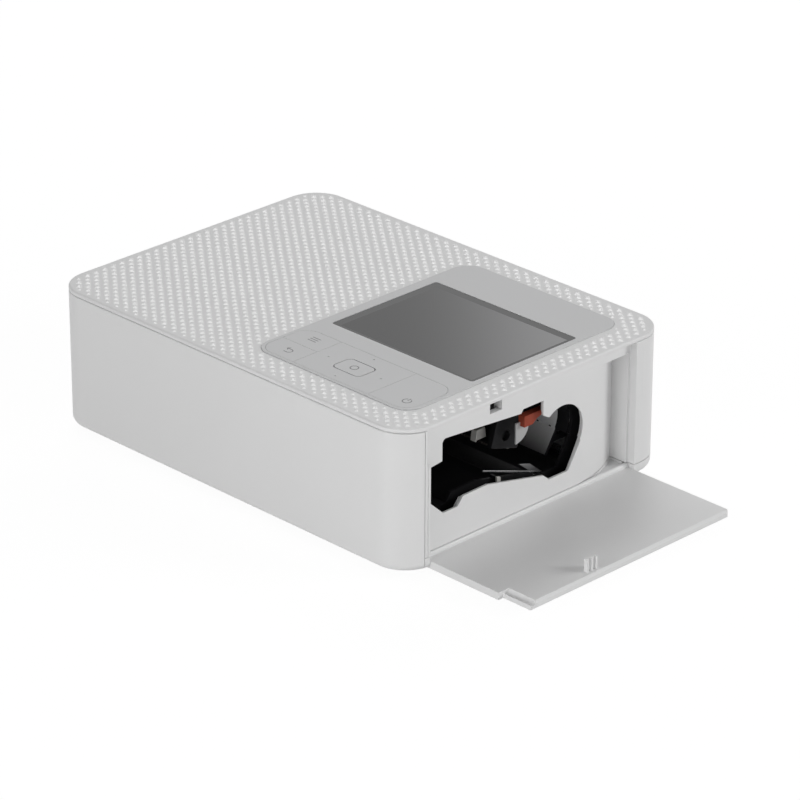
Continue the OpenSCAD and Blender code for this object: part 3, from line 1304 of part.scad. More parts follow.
module fan_impeller() color(dark_c) {
  y0 = fan_y0 + 1.3;
  rod_y(fan_xc, fan_zc, 4.3, y0, fan_y1 - 0.5);
  rod_y(fan_xc, fan_zc, 1, fan_y0 + 0.1, y0 + 1);
  for (a = [0:360 / 7:359]) translate([fan_xc, 0, fan_zc]) rotate([0, a, 0])
    translate([3.8, (y0 + fan_y1 - 0.5) / 2, 0]) rotate([38, 0, 0])
      translate([0, -2.6, -0.4]) cube([fan_r - 4.5, 5.2, 0.8]);
}

module power_inlet() color(dark_c) difference() {
  union() {
    block(inlet_xc - inlet_w / 2, room_y - 10, floor_z, inlet_xc + inlet_w / 2, room_y,
      inlet_z + inlet_w / 2);
    rod_y(inlet_xc, inlet_z, 3.35, room_y - 1, inlet_y1);
  }
  difference() {
    rod_y(inlet_xc, inlet_z, plug_r, inlet_y1 - 9, rear_y);
    rod_y(inlet_xc, inlet_z, 1, inlet_y1 - 10, inlet_y1 - 1.5);
  }
}

module data_socket() color(steel_c) difference() {
  block(-right_x + 0.8, data_yc - data_w / 2, board_z - data_t, -right_x + 9,
    data_yc + data_w / 2, board_z);
  difference() {
    block(-right_x, data_yc - data_w / 2 + 0.35, board_z - data_t + 0.35, -right_x + 7.6,
      data_yc + data_w / 2 - 0.35, board_z - 0.35);
    block(-right_x + 1.6, data_yc - 3.2, board_z - data_t / 2 - 0.35, -right_x + 8,
      data_yc + 3.2, board_z - data_t / 2 + 0.35);
  }
}

module card_socket() color(steel_c) difference() {
  block(-room_x + 0.2, card_yc - card_w / 2, board_z - card_t, -room_x + card_l,
    card_yc + card_w / 2, board_z);
  block(-room_x - 1, card_yc - card_w / 2 + 0.4, board_z - card_t + 0.35, -room_x + card_l - 2,
    card_yc + card_w / 2 - 0.4, board_z - 0.35);
}

main_casing();
bottom_case();
top_cover();
control_panel();
display_window();
screen_module();
key_board();
menu_key();
back_key();
nav_pad();
ok_key();
power_key();
rubber_feet();
case_screws();
front_door();
front_hinge_pins();
dust_flap();
ribbon_door();
ribbon_hinge_pins();
release_lever();
lever_spring();
left_side_plate();
right_side_plate();
cross_bars();
front_spool_trough();
rear_spool_trough();
paper_guide();
print_head();
heat_sink();
head_carrier();
head_pivot_shaft();
head_sector_gear();
lift_motor();
lift_pinion();
platen_roller();
platen_shaft();
platen_gear();
shaft_bushes();
capstan_roller();
capstan_gear();
pinch_roller();
pickup_rollers();
pickup_shaft();
pickup_gear();
feed_idler();
pickup_idler();
feed_motor();
feed_pinion();
take_up_spindle();
take_up_gear();
supply_spindle();
ribbon_motor();
ribbon_pinion();
main_board();
fan_frame();
fan_impeller();
power_inlet();
data_socket();
card_socket();
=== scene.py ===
import json
import math

import bmesh
import bpy
from mathutils import Matrix, Vector


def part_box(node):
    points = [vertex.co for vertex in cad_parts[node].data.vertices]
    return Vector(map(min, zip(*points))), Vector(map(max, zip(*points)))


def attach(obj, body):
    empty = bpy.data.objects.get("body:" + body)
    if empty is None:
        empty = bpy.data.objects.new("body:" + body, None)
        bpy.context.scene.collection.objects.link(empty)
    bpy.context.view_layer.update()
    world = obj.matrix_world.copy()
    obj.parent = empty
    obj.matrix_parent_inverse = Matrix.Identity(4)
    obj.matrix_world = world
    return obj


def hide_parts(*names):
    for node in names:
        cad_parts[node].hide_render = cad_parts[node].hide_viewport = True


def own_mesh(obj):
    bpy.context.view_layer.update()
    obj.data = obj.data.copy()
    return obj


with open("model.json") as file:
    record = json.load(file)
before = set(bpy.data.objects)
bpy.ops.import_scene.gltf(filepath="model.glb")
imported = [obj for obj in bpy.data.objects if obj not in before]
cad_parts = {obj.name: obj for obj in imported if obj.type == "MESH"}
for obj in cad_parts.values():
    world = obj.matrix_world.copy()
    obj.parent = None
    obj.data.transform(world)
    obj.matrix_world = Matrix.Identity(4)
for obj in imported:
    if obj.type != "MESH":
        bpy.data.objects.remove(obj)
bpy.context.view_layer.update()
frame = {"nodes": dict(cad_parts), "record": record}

MM = 0.001

# Camera, fitted to the photograph
AZIMUTH = math.radians(45.216)
ELEVATION = math.radians(25.038)
ROLL = math.radians(0.169)
EYE = Vector((0.98801, -0.95926, 0.66203))
LENS = 187.609


def set_camera():
    back = Vector((math.sin(AZIMUTH) * math.cos(ELEVATION),
                   -math.cos(AZIMUTH) * math.cos(ELEVATION), math.sin(ELEVATION)))
    right = Vector((0, 0, 1)).cross(back).normalized()
    up = back.cross(right)
    side = right * math.cos(ROLL) + up * math.sin(ROLL)
    top = up * math.cos(ROLL) - right * math.sin(ROLL)
    data = bpy.data.cameras.new("photo_camera")
    data.sensor_width = 36
    data.lens = LENS
    data.clip_start = 0.05
    data.clip_end = 30
    camera = bpy.data.objects.new("photo_camera", data)
    turn = Matrix((side, top, back)).transposed().to_4x4()
    camera.matrix_world = Matrix.Translation(EYE) @ turn
    bpy.context.scene.collection.objects.link(camera)
    bpy.context.scene.camera = camera
    bpy.context.scene.view_settings.view_transform = "Standard"


class Field:
    """A value that changes over a surface: one output socket, with arithmetic."""

    def __init__(self, socket):
        self.socket = socket

    def _combine(self, operation, first, second):
        node = self.socket.id_data.nodes.new("ShaderNodeMath")
        node.operation = operation
        for place, value in enumerate((first, second)):
            if isinstance(value, Field):
                self.socket.id_data.links.new(value.socket, node.inputs[place])
            else:
                node.inputs[place].default_value = value
        return Field(node.outputs[0])

    def __add__(self, other):
        return self._combine("ADD", self, other)

    __radd__ = __add__

    def __sub__(self, other):
        return self._combine("SUBTRACT", self, other)

    def __rsub__(self, other):
        return self._combine("SUBTRACT", other, self)

    def __mul__(self, other):
        return self._combine("MULTIPLY", self, other)

    __rmul__ = __mul__

    def above(self, other):
        return self._combine("GREATER_THAN", self, other)

    def below(self, other):
        return self._combine("LESS_THAN", self, other)


class Finish:
    """A material on the Principled shader, built from Object coordinates."""

    def __init__(self, name, **constants):
        self.material = bpy.data.materials.new(name)
        self.material.use_nodes = True
        self.tree = self.material.node_tree
        self.shader = self.tree.nodes["Principled BSDF"]
        for socket, value in constants.items():
            self.shader.inputs[socket.replace("_", " ")].default_value = value

    def node(self, kind, settings=None, values=None, output=0):
        """Adds a node: settings come first, then the values or links of its sockets."""
        node = self.tree.nodes.new(kind)
        for name, setting in (settings or {}).items():
            if name == "stops":
                ramp = node.color_ramp
                while len(ramp.elements) < len(setting):
                    ramp.elements.new(1)
                for element, (place, colour) in zip(ramp.elements, setting):
                    element.position = place
                    element.color = (*colour, 1)
            else:
                setattr(node, name, setting)
        for name, value in (values or {}).items():
            if isinstance(value, Field):
                self.tree.links.new(value.socket, node.inputs[name])
            else:
                node.inputs[name].default_value = value
        return Field(node.outputs[output])

    def feed(self, socket, field):
        self.tree.links.new(field.socket, self.shader.inputs[socket])

    def place(self, stretch=(1, 1, 1)):
        """Object coordinates in metres, stretched."""
        coordinate = self.node("ShaderNodeTexCoord", output=3)
        return self.node("ShaderNodeMapping", values={"Vector": coordinate, "Scale": stretch})

    def axis(self, name):
        """One Object coordinate in metres."""
        coordinate = self.node("ShaderNodeTexCoord", output=3)
        return self.node("ShaderNodeSeparateXYZ", values={"Vector": coordinate},
                         output="XYZ".index(name))

    def noise(self, scale, detail=3, stretch=(1, 1, 1)):
        return self.node("ShaderNodeTexNoise", values={
            "Vector": self.place(stretch), "Scale": scale, "Detail": detail})

    def shades(self, field, low, high):
        """A colour between low and high, by field."""
        return self.node("ShaderNodeMix", {"data_type": "RGBA"}, {
            0: field, 6: (*low, 1), 7: (*high, 1)}, output=2)

    def relief(self, height, distance):
        self.feed("Normal", self.node("ShaderNodeBump", values={
            "Height": height, "Distance": distance, "Strength": 1.0}))


def tint(colour, factor):
    return tuple(min(1, part * factor) for part in colour)


def moulded(name, colour, roughness, grain=3200, depth=0.004, spread=0.02, **constants):
    """Moulded plastic: spark-eroded grain, faint flow marks and uneven sheen."""
    finish = Finish(name, Roughness=roughness, **constants)
    flow = finish.noise(22, 4)
    fine = finish.noise(grain, 2)
    finish.feed("Base Color", finish.shades(flow, tint(colour, 1 - spread),
                                            tint(colour, 1 + spread)))
    finish.feed("Roughness", roughness - 0.04 + 0.05 * flow + 0.04 * fine)
    finish.relief(fine, depth * MM)
    return finish.material


def ground_metal(name, colour, roughness, stretch=(1, 60, 60), **constants):
    """Metal with fine grinding lines along X."""
    finish = Finish(name, Metallic=1.0, **constants)
    lines = finish.noise(90, 3, stretch)
    cloud = finish.noise(60, 3)
    finish.feed("Base Color", finish.shades(lines, tint(colour, 0.88), tint(colour, 1.06)))
    finish.feed("Roughness", roughness - 0.06 + 0.1 * lines + 0.06 * cloud)
    finish.relief(lines, 0.004 * MM)
    return finish.material


def rubber(name, colour):
    finish = Finish(name, Roughness=0.75)
    speck = finish.noise(1800, 4)
    dust = finish.noise(140, 3)
    finish.feed("Base Color", finish.shades(dust, tint(colour, 0.85), tint(colour, 1.35)))
    finish.feed("Roughness", 0.62 + 0.2 * speck)
    finish.relief(speck, 0.012 * MM)
    return finish.material


def circuit_board(name, colour):
    """Solder mask with tracks and pads showing through."""
    finish = Finish(name, Roughness=0.35, Coat_Weight=0.3)
    tracks = finish.node("ShaderNodeTexBrick", {"offset": 0.37}, {
        "Vector": finish.place(), "Scale": 150.0, "Mortar Size": 0.03,
        "Color1": (0, 0, 0, 1), "Color2": (0.25, 0.25, 0.25, 1), "Mortar": (1, 1, 1, 1)})
    spots = finish.node("ShaderNodeTexVoronoi", values={
        "Vector": finish.place(), "Scale": 420.0})
    pads = spots.below(0.14)
    mask = finish.shades(tracks, colour, tint(colour, 2.2))
    finish.feed("Base Color", finish.node("ShaderNodeMix", {"data_type": "RGBA"}, {
        0: pads, 6: mask, 7: (0.55, 0.5, 0.4, 1)}, output=2))
    finish.feed("Roughness", 0.42 - 0.12 * pads)
    finish.relief(tracks, 0.02 * MM)
    return finish.material


def display_glass(name):
    """Smoked window over the display's picture area, which carries a painted reflection, lighter
    towards the back right.
    """
    low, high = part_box("display_window")
    left, right, front, back = 3.4 * MM, 1.4 * MM, 1.2 * MM, 3.4 * MM
    finish = Finish(name, Roughness=0.06, Coat_Weight=0.0)
    across = finish.axis("X")
    along = finish.axis("Y")
    inside = (across.above(low.x + left) * across.below(high.x - right)
              * along.above(low.y + front) * along.below(high.y - back))
    haze = finish.noise(35, 2)
    # Painted reflection: the picture area runs from near black at the front left to grey at the back
    # right.
    reflection_slope = finish.node("ShaderNodeMapRange", {"interpolation_type": "SMOOTHSTEP"}, {
        "Value": across + along, "From Min": low.x + low.y, "From Max": high.x + high.y,
        "To Min": 0.0, "To Max": 1.0})
    painted_reflection = finish.shades(reflection_slope * reflection_slope, (0.008, 0.008, 0.009), (0.30, 0.30, 0.305))
    finish.feed("Base Color", finish.node("ShaderNodeMix", {"data_type": "RGBA"}, {
        0: inside, 6: (0.05, 0.051, 0.052, 1), 7: painted_reflection}, output=2))
    finish.feed("Roughness", 0.05 + 0.03 * haze)
    return finish.material


def heating_ceramic(name):
    """Glazed ceramic with the dark heating line across it; its whole colour is kept near black as
    painted shade.
    """
    finish = Finish(name, Roughness=0.25, Coat_Weight=0.4)
    speck = finish.noise(900, 3)
    bands = finish.node("ShaderNodeTexWave", {"bands_direction": "X"}, {
        "Vector": finish.place(), "Scale": 260.0})
    # Painted shade: the ceramic's colours are kept near black to stand in for the shade inside the
    # printer.
    finish.feed("Base Color", finish.shades(bands * speck, (0.05, 0.045, 0.04),
                                            (0.12, 0.11, 0.10)))
    finish.feed("Roughness", 0.2 + 0.12 * speck)
    return finish.material


def trough_film_finish(name):
    """Smooth film with painted light and shade: near white at its top, darker towards the bottom of
    the trough.
    """
    finish = Finish(name, Coat_Weight=0.3)
    cloud = finish.noise(60, 3)
    # Painted light and shade: the colour runs from dark grey at 15 mm up to near white at 30 mm.
    height = finish.node("ShaderNodeMapRange", values={
        "Value": finish.axis("Z"), "From Min": 15 * MM, "From Max": 30 * MM,
        "To Min": 0.0, "To Max": 1.0})
    finish.feed("Base Color", finish.shades(height, (0.10, 0.10, 0.102), (0.90, 0.90, 0.91)))
    finish.feed("Roughness", 0.26 + 0.08 * cloud)
    finish.relief(cloud, 0.02 * MM)
    return finish.material


SHELL = (0.80, 0.80, 0.80)
PANEL = (0.62, 0.622, 0.628)
finishes = {
    "shell": moulded("shell_plastic", SHELL, 0.42),
    "cover": moulded("cover_plastic", SHELL, 0.38, depth=0.002),
    # Painted light: the lattice's bumps are paler than the cover's own plastic, standing in for light
    # on their facets.
    "lattice": moulded("lattice_plastic_painted_light", (0.94, 0.94, 0.94), 0.24, depth=0.0004, spread=0.01),
    "panel": moulded("panel_plastic", PANEL, 0.36, grain=5200, depth=0.002),
    "dark": moulded("black_frame_plastic", (0.014, 0.014, 0.015), 0.38, spread=0.2,
                    Specular_IOR_Level=0.08),
    "lever": moulded("orange_lever_plastic", (0.30, 0.060, 0.034), 0.40, spread=0.05,
                     Specular_IOR_Level=0.1),
    "gear": moulded("acetal_gear", (0.80, 0.78, 0.72), 0.35, spread=0.03),
    "bush": moulded("acetal_bush", (0.74, 0.70, 0.58), 0.35, spread=0.03),
    "window": display_glass("display_window_glass"),
    "board": circuit_board("circuit_board", (0.012, 0.085, 0.045)),
    "rubber": rubber("black_rubber", (0.02, 0.02, 0.021)),
    "rubber_light": rubber("grey_rubber", (0.2, 0.2, 0.205)),
    "steel": ground_metal("ground_steel", (0.62, 0.62, 0.63), 0.26),
    "spring": ground_metal("spring_wire", (0.5, 0.5, 0.52), 0.3),
    "sheet": moulded("black_painted_sheet", (0.012, 0.012, 0.013), 0.42, spread=0.2,
                     Specular_IOR_Level=0.1),
    "aluminium": ground_metal("black_anodised_aluminium", (0.03, 0.03, 0.032), 0.42),
    "motor": ground_metal("motor_can", (0.55, 0.56, 0.57), 0.34, stretch=(40, 1, 40)),
    "brass": ground_metal("turned_brass", (0.72, 0.52, 0.22), 0.28),
    "ceramic": heating_ceramic("heating_ceramic"),
    # The liner carries painted light and shade, lighter with height.
    "liner": trough_film_finish("grey_liner_film"),
    "claw": moulded("pale_slide_plastic", (0.42, 0.42, 0.42), 0.4, spread=0.05),
    "connector": moulded("connector_housing", (0.62, 0.61, 0.58), 0.45, spread=0.05),
    "ink": moulded("key_print_ink", (0.20, 0.20, 0.205), 0.5, spread=0.04),
}


def dress_cad_nodes():
    """Every carried-over CAD node gets the finish of its record slot."""
    for entry in frame["record"]["subparts"]:
        piece = frame["nodes"][entry["node"]]
        for slot in piece.material_slots:
            slot.material = finishes[entry["material_slot"]]


def finished_piece(name, mesh_maker, body, slot, finish=None):
    """Turns a filled bmesh into an object that rides on a body, and returns it."""
    mesh = bpy.data.meshes.new(name)
    mesh_maker.normal_update()
    mesh_maker.to_mesh(mesh)
    mesh_maker.free()
    piece = bpy.data.objects.new(name, mesh)
    bpy.context.scene.collection.objects.link(piece)
    mesh.materials.append(finish or finishes[slot])
    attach(piece, body)
    return piece


def inside_rounded(x, y, low, high, radius, margin):
    """Distance inside a rounded rectangle in plan; negative outside."""
    half_x = (high[0] - low[0]) / 2 - margin
    half_y = (high[1] - low[1]) / 2 - margin
    radius = max(radius - margin, 0)
    away_x = abs(x - (low[0] + high[0]) / 2) - (half_x - radius)
    away_y = abs(y - (low[1] + high[1]) / 2) - (half_y - radius)
    outside = math.hypot(max(away_x, 0), max(away_y, 0)) + min(max(away_x, away_y), 0)
    return radius - outside


# Half diagonals of a lattice cell, in mm, and the centre of one cell
LATTICE_X = 2.577
LATTICE_Y = 2.110
LATTICE_AT = (0.115, 1.612)
# A bump's half width and half length, as shares of a cell, and its height in mm
BUMP_WIDE = 0.34
BUMP_LONG = 0.49
BUMP_HEIGHT = 0.27
BUMP_SINK = 0.02
# Sizes that are tried near a border, from whole to smallest
BUMP_SHARES = (1, 0.72, 0.45)
CELLS_EACH_WAY = 34
# Corner radii, the panel's hidden flange and the bare margins, in mm
COVER_RADIUS = 13.5
PANEL_RADIUS = 7.5
PANEL_FLANGE = 2.0
COVER_MARGIN = 1.0
PANEL_MARGIN = 0.15


def on_cover(u, v):
    """Place of a lattice point in plan, in mm."""
    return (LATTICE_AT[0] + LATTICE_X * (u - v), LATTICE_AT[1] + LATTICE_Y * (u + v))


def make_lattice():
    """Raised lattice of low pyramids on the top cover, clear of the control panel."""
    low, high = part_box("top_cover")
    panel_low, panel_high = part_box("control_panel")
    cover = ([low.x / MM, low.y / MM], [high.x / MM, high.y / MM])
    panel = ([panel_low.x / MM + PANEL_FLANGE, panel_low.y / MM + PANEL_FLANGE],
             [panel_high.x / MM - PANEL_FLANGE, panel_high.y / MM - PANEL_FLANGE])

    def room(u, v):
        x, y = on_cover(u, v)
        return min(inside_rounded(x, y, *cover, COVER_RADIUS, COVER_MARGIN),
                   -inside_rounded(x, y, *panel, PANEL_RADIUS, -PANEL_MARGIN))

    maker = bmesh.new()
    for row in range(-CELLS_EACH_WAY, CELLS_EACH_WAY + 1):
        for column in range(-CELLS_EACH_WAY, CELLS_EACH_WAY + 1):
            for share in BUMP_SHARES:
                wide, long = BUMP_WIDE * share, BUMP_LONG * share
                if min(room(row + i * wide, column + j * long)
                       for i in (-1, 0, 1) for j in (-1, 0, 1)) > 0:
                    add_bump(maker, row, column, wide, long, BUMP_HEIGHT * share, high.z)
                    break
    # The lattice takes its own paler finish, painted light on the bumps.
    finished_piece("top_lattice", maker, "chassis", "cover", finishes["lattice"])


def add_bump(maker, row, column, wide, long, height, top):
    """A four-sided cone whose base follows the lattice's two directions."""
    x, y = on_cover(row, column)
    across = Vector((LATTICE_X, LATTICE_Y, 0)) * wide * MM
    along = Vector((-LATTICE_X, LATTICE_Y, 0)) * long * MM
    rise = Vector((0, 0, (height + BUMP_SINK) * MM))
    place = Matrix((across, along, rise)).transposed().to_4x4()
    place.translation = Vector((x * MM, y * MM, top + (height - BUMP_SINK) / 2 * MM))
    quarter = Matrix.Rotation(math.pi / 4, 4, "Z")
    bmesh.ops.create_cone(maker, cap_ends=True, segments=4, radius1=math.sqrt(2), radius2=0,
                          depth=1, matrix=place @ quarter)


# Thickness of the printed marks, and width of their strokes, in mm
INK = 0.03
STROKE = 0.4
THIN_STROKE = 0.38


def flat_ring(maker, centre, radius, width, start, sweep, z):
    """A printed arc: a small rectangle spun about the vertical."""
    arm = Vector((math.cos(start), math.sin(start), 0))
    corners = []
    for reach, rise in ((-1, 0), (1, 0), (1, 1), (-1, 1)):
        at = centre + arm * (radius + reach * width / 2)
        corners.append(maker.verts.new((at.x * MM, at.y * MM, (z + (rise - 0.5) * INK) * MM)))
    face = maker.faces.new(corners)
    middle = Vector((centre.x * MM, centre.y * MM, 0))
    full = abs(sweep) > 2 * math.pi - 0.01
    steps = max(8, int(abs(sweep) / 0.15))
    bmesh.ops.spin(maker, geom=[face, *face.edges, *face.verts], cent=middle, axis=(0, 0, 1),
                   angle=sweep, steps=steps, use_merge=full)
    if full:
        maker.faces.remove(face)


def flat_bar(maker, start, end, width, z):
    """A printed straight stroke between two points."""
    along = end - start
    turn = Matrix.Rotation(math.atan2(along.y, along.x), 4, "Z")
    size = Matrix.Diagonal((along.length * MM, width * MM, INK * MM, 1))
    middle = (start + end) / 2
    place = Matrix.Translation((middle.x * MM, middle.y * MM, z * MM))
    bmesh.ops.create_cube(maker, size=1, matrix=place @ turn @ size)


def print_marks():
    """Plain marks on the keys: bars, a return arrow, a switch sign and a ring."""
    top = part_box("control_panel")[1].z / MM
    bars = bmesh.new()
    for row in (-1.3, 0, 1.3):
        left = Vector((10.6, -33.9 + row, 0))
        flat_bar(bars, left, left + Vector((4, 0, 0)), STROKE, top)
    arrow = bmesh.new()
    centre, radius = Vector((13.3, -46.8, 0)), 1.3
    flat_ring(arrow, centre, radius, THIN_STROKE, -math.pi / 2, math.pi, top)
    shaft, tail = centre + Vector((0, radius, 0)), centre - Vector((0, radius, 0))
    point = shaft - Vector((2.2, 0, 0))
    for start, end in ((shaft - Vector((2.1, 0, 0)), shaft), (tail - Vector((1.5, 0, 0)), tail),
                       (point, point + Vector((1, 0.9, 0))), (point, point + Vector((1, -0.9, 0)))):
        flat_bar(arrow, start, end, THIN_STROKE, top)
    switch = bmesh.new()
    centre = Vector((71.8, -46.6, 0))
    flat_ring(switch, centre, 1.6, STROKE, math.radians(120), math.radians(300), top)
    flat_bar(switch, centre + Vector((0, 0.3, 0)), centre + Vector((0, 2.1, 0)), STROKE, top)
    ring = bmesh.new()
    flat_ring(ring, Vector((39.6, -40.4, 0)), 1.5, STROKE, 0, 2 * math.pi, top)
    for name, mark, key in (("menu_mark", bars, "menu_key"), ("return_mark", arrow, "back_key"),
                            ("switch_mark", switch, "power_key"), ("middle_mark", ring, "ok_key")):
        finished_piece(name, mark, key, "panel", finishes["ink"])


def arc(centre, radius, start, stop, steps):
    """Points of an arc in (Y, Z), angles in degrees from +Y towards +Z."""
    angles = [math.radians(start + (stop - start) * i / steps) for i in range(steps + 1)]
    return [(centre[0] + radius * math.cos(a), centre[1] + radius * math.sin(a)) for a in angles]


def add_plate(maker, outline, x0, x1, edge=0.0):
    """Extrudes an outline in (Y, Z) from x0 to x1, all in mm, and softens its edges."""
    corners = [maker.verts.new((x0 * MM, y * MM, z * MM)) for y, z in outline]
    start = maker.faces.new(corners)
    out = bmesh.ops.extrude_face_region(maker, geom=[start])
    moved = [part for part in out["geom"] if isinstance(part, bmesh.types.BMVert)]
    bmesh.ops.translate(maker, verts=moved, vec=((x1 - x0) * MM, 0, 0))
    faces = {face for point in corners + moved for face in point.link_faces}
    bmesh.ops.recalc_face_normals(maker, faces=list(faces))
    if edge:
        edges = {line for face in faces for line in face.edges}
        bmesh.ops.bevel(maker, geom=list(edges), offset=edge * MM, offset_type="OFFSET",
                        segments=2, profile=0.5, affect="EDGES", material=-1)


def strip_outline(start, stop, thick):
    """Rectangle in (Y, Z) about the line from start to stop."""
    along = Vector(stop) - Vector(start)
    side = Vector((-along.y, along.x)).normalized() * thick / 2
    return [tuple(Vector(start) - side), tuple(Vector(stop) - side),
            tuple(Vector(stop) + side), tuple(Vector(start) + side)]


# Axis of the rear spool's lobe in (Y, Z), ends of the trough and of the wall in X, and the
# film's thickness, in mm
LOBE = (14.6, 30.4)
TROUGH_START = 26.0
TROUGH_END = 75.4
WALL_BACK = 80.7
FILM = 0.25
# Lever spring: wire radius in mm, and turns
SPRING_WIRE = 0.22
SPRING_TURNS = 5


def fit_trough():
    """Smooth film that lines the rear trough, from its upper edge to the paper gap."""
    film = bmesh.new()
    wall = arc(LOBE, 11.2, 5, -27, 14) + [(24.72, 24.6), (19.38, 16.0)]
    inner = [(y - FILM, z + FILM * 0.6) for y, z in reversed(wall)]
    add_plate(film, wall + inner, TROUGH_START, TROUGH_END - 0.3)
    # The film's finish paints light near its top and shade towards the bottom.
    finished_piece("trough_film", film, "chassis", "sheet", finishes["liner"])


def fit_collar():
    """Black collar between the rear trough and the side wall's opening."""
    collar = bmesh.new()
    add_plate(collar, arc(LOBE, 11.42, -30, 180, 42) + arc(LOBE, 11.0, 180, -30, 42),
              TROUGH_END + 0.1, WALL_BACK)
    finished_piece("opening_collar", collar, "chassis", "dark")


def fit_lever_claw():
    """Pale quarter-round claw that the release lever moves."""
    claw = bmesh.new()
    outline = [(-4.1, 38.7), (-4.1, 30.6), (-3.6, 30.6)]
    outline += arc((-4.2, 37.4), 6.7, -80, -2, 9)
    outline += [(2.5, 38.7)]
    add_plate(claw, outline, 82.6, 83.2, 0.08)
    finished_piece("lever_claw", claw, "release_lever", "lever", finishes["claw"])


def wind_lever_spring():
    """Pressure spring above the release lever, in place of the CAD's lever spring."""
    low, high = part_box("lever_spring")
    wire = SPRING_WIRE * MM
    turn_radius = (high.x - low.x) / 2 - wire
    middle = Vector(((low.x + high.x) / 2, (low.y + high.y) / 2, low.z + wire))
    stand = Matrix.Rotation(math.pi / 2, 4, "X")
    place = Matrix.Translation(middle + Vector((turn_radius, 0, 0))) @ stand
    spring = bmesh.new()
    ring = bmesh.ops.create_circle(spring, cap_ends=False, radius=wire, segments=8, matrix=place)
    edges = {edge for point in ring["verts"] for edge in point.link_edges}
    steps = SPRING_TURNS * 16
    rise = Vector((0, 0, (high.z - low.z - 2 * wire) / steps))
    bmesh.ops.spin(spring, geom=[*ring["verts"], *edges], cent=middle, axis=(0, 0, 1), dvec=rise,
                   angle=2 * math.pi * SPRING_TURNS, steps=steps, use_merge=False)
    ends = [edge for edge in spring.edges if edge.is_boundary]
    bmesh.ops.holes_fill(spring, edges=ends)
    bmesh.ops.recalc_face_normals(spring, faces=list(spring.faces))
    piece = finished_piece("pressure_spring", spring, "chassis", "spring")
    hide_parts("lever_spring")
    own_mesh(piece)


def fit_head_connector():
    """Housing of the head's cable connector, with its lock bar."""
    housing = bmesh.new()
    add_plate(housing, [(-12.2, 31.0), (-7.4, 31.0), (-7.9, 35.0), (-11.6, 35.0)], 70.4, 72.0, 0.25)
    add_plate(housing, [(-13.4, 31.0), (-12.9, 31.0), (-12.3, 35.2), (-12.8, 35.2)], 70.0, 72.6, 0.1)
    finished_piece("head_connector", housing, "print_unit", "gear", finishes["connector"])


def fit_chassis_details():
    """Wire strips, deflector, cable clip, latch rib and trough beads behind the side wall."""
    strips = bmesh.new()
    add_plate(strips, strip_outline((-16.3, 23.0), (13.95, 12.5), 0.6), 78.6, 79.2, 0.12)
    add_plate(strips, strip_outline((-9.5, 18.9), (13.9, 11.9), 0.35), 79.5, 79.9, 0.08)
    finished_piece("guide_wires", strips, "chassis", "steel")
    rib = bmesh.new()
    add_plate(rib, [(2.4, 19.3), (8.0, 17.6), (14.9, 11.9), (9.0, 13.9)], 78.4, 78.8, 0.08)
    # The deflector takes the liner finish, with its painted light and shade by height.
    finished_piece("paper_deflector", rib, "chassis", "sheet", finishes["liner"])
    clip = bmesh.new()
    add_plate(clip, [(-14.4, 19.8), (-12.5, 19.2), (-12.5, 21.3), (-14.4, 21.9)], 83.4, 84.2, 0.15)
    finished_piece("cable_clip", clip, "chassis", "gear", finishes["connector"])
    bracket = bmesh.new()
    add_plate(bracket, [(-14.2, 20.0), (-12.7, 19.5), (-12.7, 21.1), (-14.2, 21.6)], 80.4, 83.5, 0.1)
    finished_piece("clip_bracket", bracket, "chassis", "dark")
    latch = bmesh.new()
    add_plate(latch, [(-16.25, 49.4), (-15.2, 49.4), (-15.2, 54.4), (-16.25, 54.4)], 83.95, 85.57, 0.1)
    finished_piece("latch_rib", latch, "chassis", "shell")
    beads = bmesh.new()
    for y, z in ((-49.7, 25.2), (-48.6, 22.9), (-46.4, 21.2), (-43.6, 20.5)):
        add_plate(beads, arc((y, z), 0.35, 0, 315, 7), 58.0, WALL_BACK)
    finished_piece("trough_beads", beads, "chassis", "dark")


# Centre of the rear right corner's round, in mm
CORNER_AT = (77.6, 53.0)


def close_rear_corners():
    """Closes the notch where the CAD's wall is broken through at both rear bottom corners."""
    profile = [(12.6, 4.7), (13.36, 4.7), (13.44, 5.0), (13.47, 5.4), (13.47, 7.15), (12.6, 7.15)]
    walls = bmesh.new()
    for side, start in ((1, 28), (-1, 118)):
        centre = Vector((side * CORNER_AT[0] * MM, CORNER_AT[1] * MM, 0))
        arm = Vector((math.cos(math.radians(start)), math.sin(math.radians(start)), 0))
        corners = [walls.verts.new(centre + arm * reach * MM + Vector((0, 0, z * MM)))
                   for reach, z in profile]
        face = walls.faces.new(corners)
        bmesh.ops.spin(walls, geom=[face, *face.edges, *face.verts], cent=centre,
                       axis=(0, 0, 1), angle=math.radians(34), steps=12, use_merge=False)
    bmesh.ops.recalc_face_normals(walls, faces=list(walls.faces))
    finished_piece("rear_corner_walls", walls, "chassis", "shell")


def seen_directly(tree):
    """One for camera, glossy and transmission rays, which see the pale background."""
    path = tree.nodes.new("ShaderNodeLightPath")
    rays = [Field(path.outputs[name]) for name in
            ("Is Camera Ray", "Is Glossy Ray", "Is Transmission Ray")]
    return rays[0] + rays[1] + rays[2]


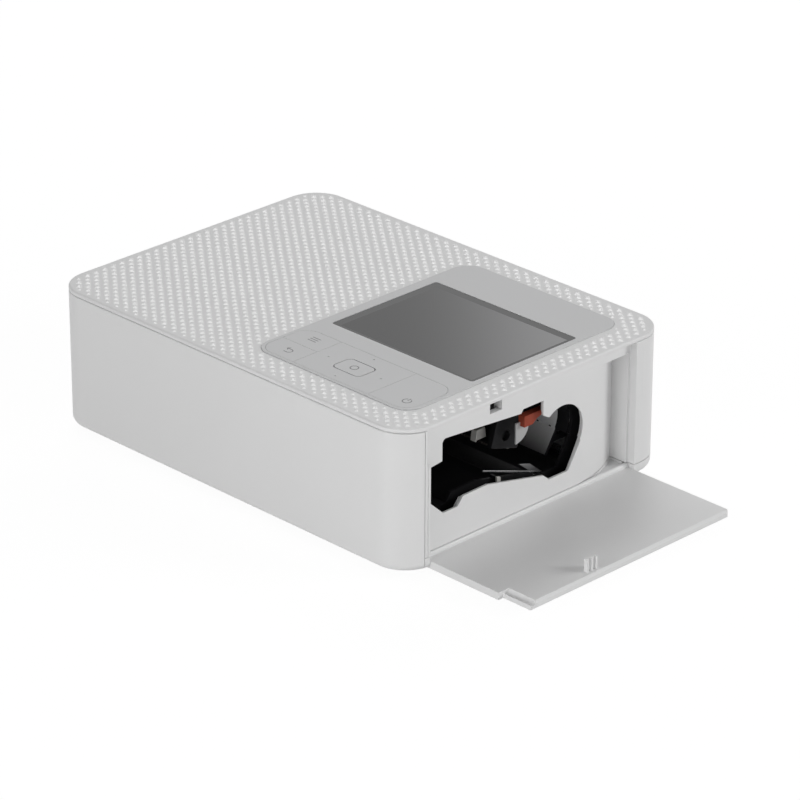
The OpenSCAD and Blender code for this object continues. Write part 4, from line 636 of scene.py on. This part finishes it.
def studio_surface(name, colour, direct_share, glow_strength):
    """Pale surface that shows almost white, with the object's shadow kept."""
    material = bpy.data.materials.new(name)
    material.use_nodes = True
    tree = material.node_tree
    tree.nodes.clear()
    diffuse = tree.nodes.new("ShaderNodeBsdfDiffuse")
    diffuse.inputs["Color"].default_value = (*colour, 1)
    glow = tree.nodes.new("ShaderNodeEmission")
    glow.inputs["Color"].default_value = (1, 1, 1, 1)
    glow.inputs["Strength"].default_value = glow_strength
    mix = tree.nodes.new("ShaderNodeMixShader")
    output = tree.nodes.new("ShaderNodeOutputMaterial")
    share = seen_directly(tree) * direct_share
    tree.links.new(share.socket, mix.inputs[0])
    tree.links.new(diffuse.outputs[0], mix.inputs[1])
    tree.links.new(glow.outputs[0], mix.inputs[2])
    tree.links.new(mix.outputs[0], output.inputs[0])
    return material


FLOOR_COLOUR = (0.85, 0.85, 0.85)
FLOOR_HALF_SIZE = 5
# How much of the floor's own glow the camera sees, and its strength, where 1 is white
FLOOR_GLOW_SHARE = 0.9
FLOOR_GLOW = 1.06
# Strength of the world as a lamp; it is white where it is seen directly
WORLD_LIGHT = 0.15


def make_floor():
    maker = bmesh.new()
    bmesh.ops.create_grid(maker, x_segments=1, y_segments=1, size=FLOOR_HALF_SIZE)
    mesh = bpy.data.meshes.new("studio_floor")
    maker.to_mesh(mesh)
    maker.free()
    floor = bpy.data.objects.new("studio_floor", mesh)
    mesh.materials.append(studio_surface("studio_floor_white", FLOOR_COLOUR,
                                         FLOOR_GLOW_SHARE, FLOOR_GLOW))
    bpy.context.scene.collection.objects.link(floor)


def make_world():
    world = bpy.data.worlds.new("studio_world")
    bpy.context.scene.world = world
    world.use_nodes = True
    tree = world.node_tree
    back = tree.nodes["Background"]
    back.inputs["Color"].default_value = (1, 1, 1, 1)
    strength = WORLD_LIGHT + (1 - WORLD_LIGHT) * seen_directly(tree)
    tree.links.new(strength.socket, back.inputs["Strength"])


def lamp(name, at, aim, size, power):
    data = bpy.data.lights.new(name, "AREA")
    data.shape = "RECTANGLE"
    data.size, data.size_y = size
    data.energy = power
    light = bpy.data.objects.new(name, data)
    facing = (Vector(aim) - Vector(at)).to_track_quat("-Z", "Y")
    light.matrix_world = Matrix.Translation(at) @ facing.to_matrix().to_4x4()
    light.visible_camera = False
    bpy.context.scene.collection.objects.link(light)


# Point that most lamps aim at, in m
MIDDLE = (0, 0, 0.03)


def make_lamps():
    lamp("front_lamp", (0.1, -1.7, 0.6), MIDDLE, (1.0, 1.0), 10.5)
    lamp("right_lamp", (1.9, -0.15, 0.72), MIDDLE, (0.8, 0.5), 2.5)
    lamp("low_card", (0.3, -0.4, 0.04), (0.06, -0.07, 0.02), (0.5, 0.08), 0.36)
    lamp("back_right_lamp", (1.35, 1.1, 0.75), MIDDLE, (0.8, 0.5), 12.5)
    lamp("back_panel", (-0.613, 0.607, 0.9), MIDDLE, (0.7, 0.4), 3.3)


set_camera()
make_world()
make_floor()
make_lamps()
dress_cad_nodes()
make_lattice()
print_marks()
fit_trough()
fit_collar()
fit_lever_claw()
wind_lever_spring()
fit_head_connector()
fit_chassis_details()
close_rear_corners()
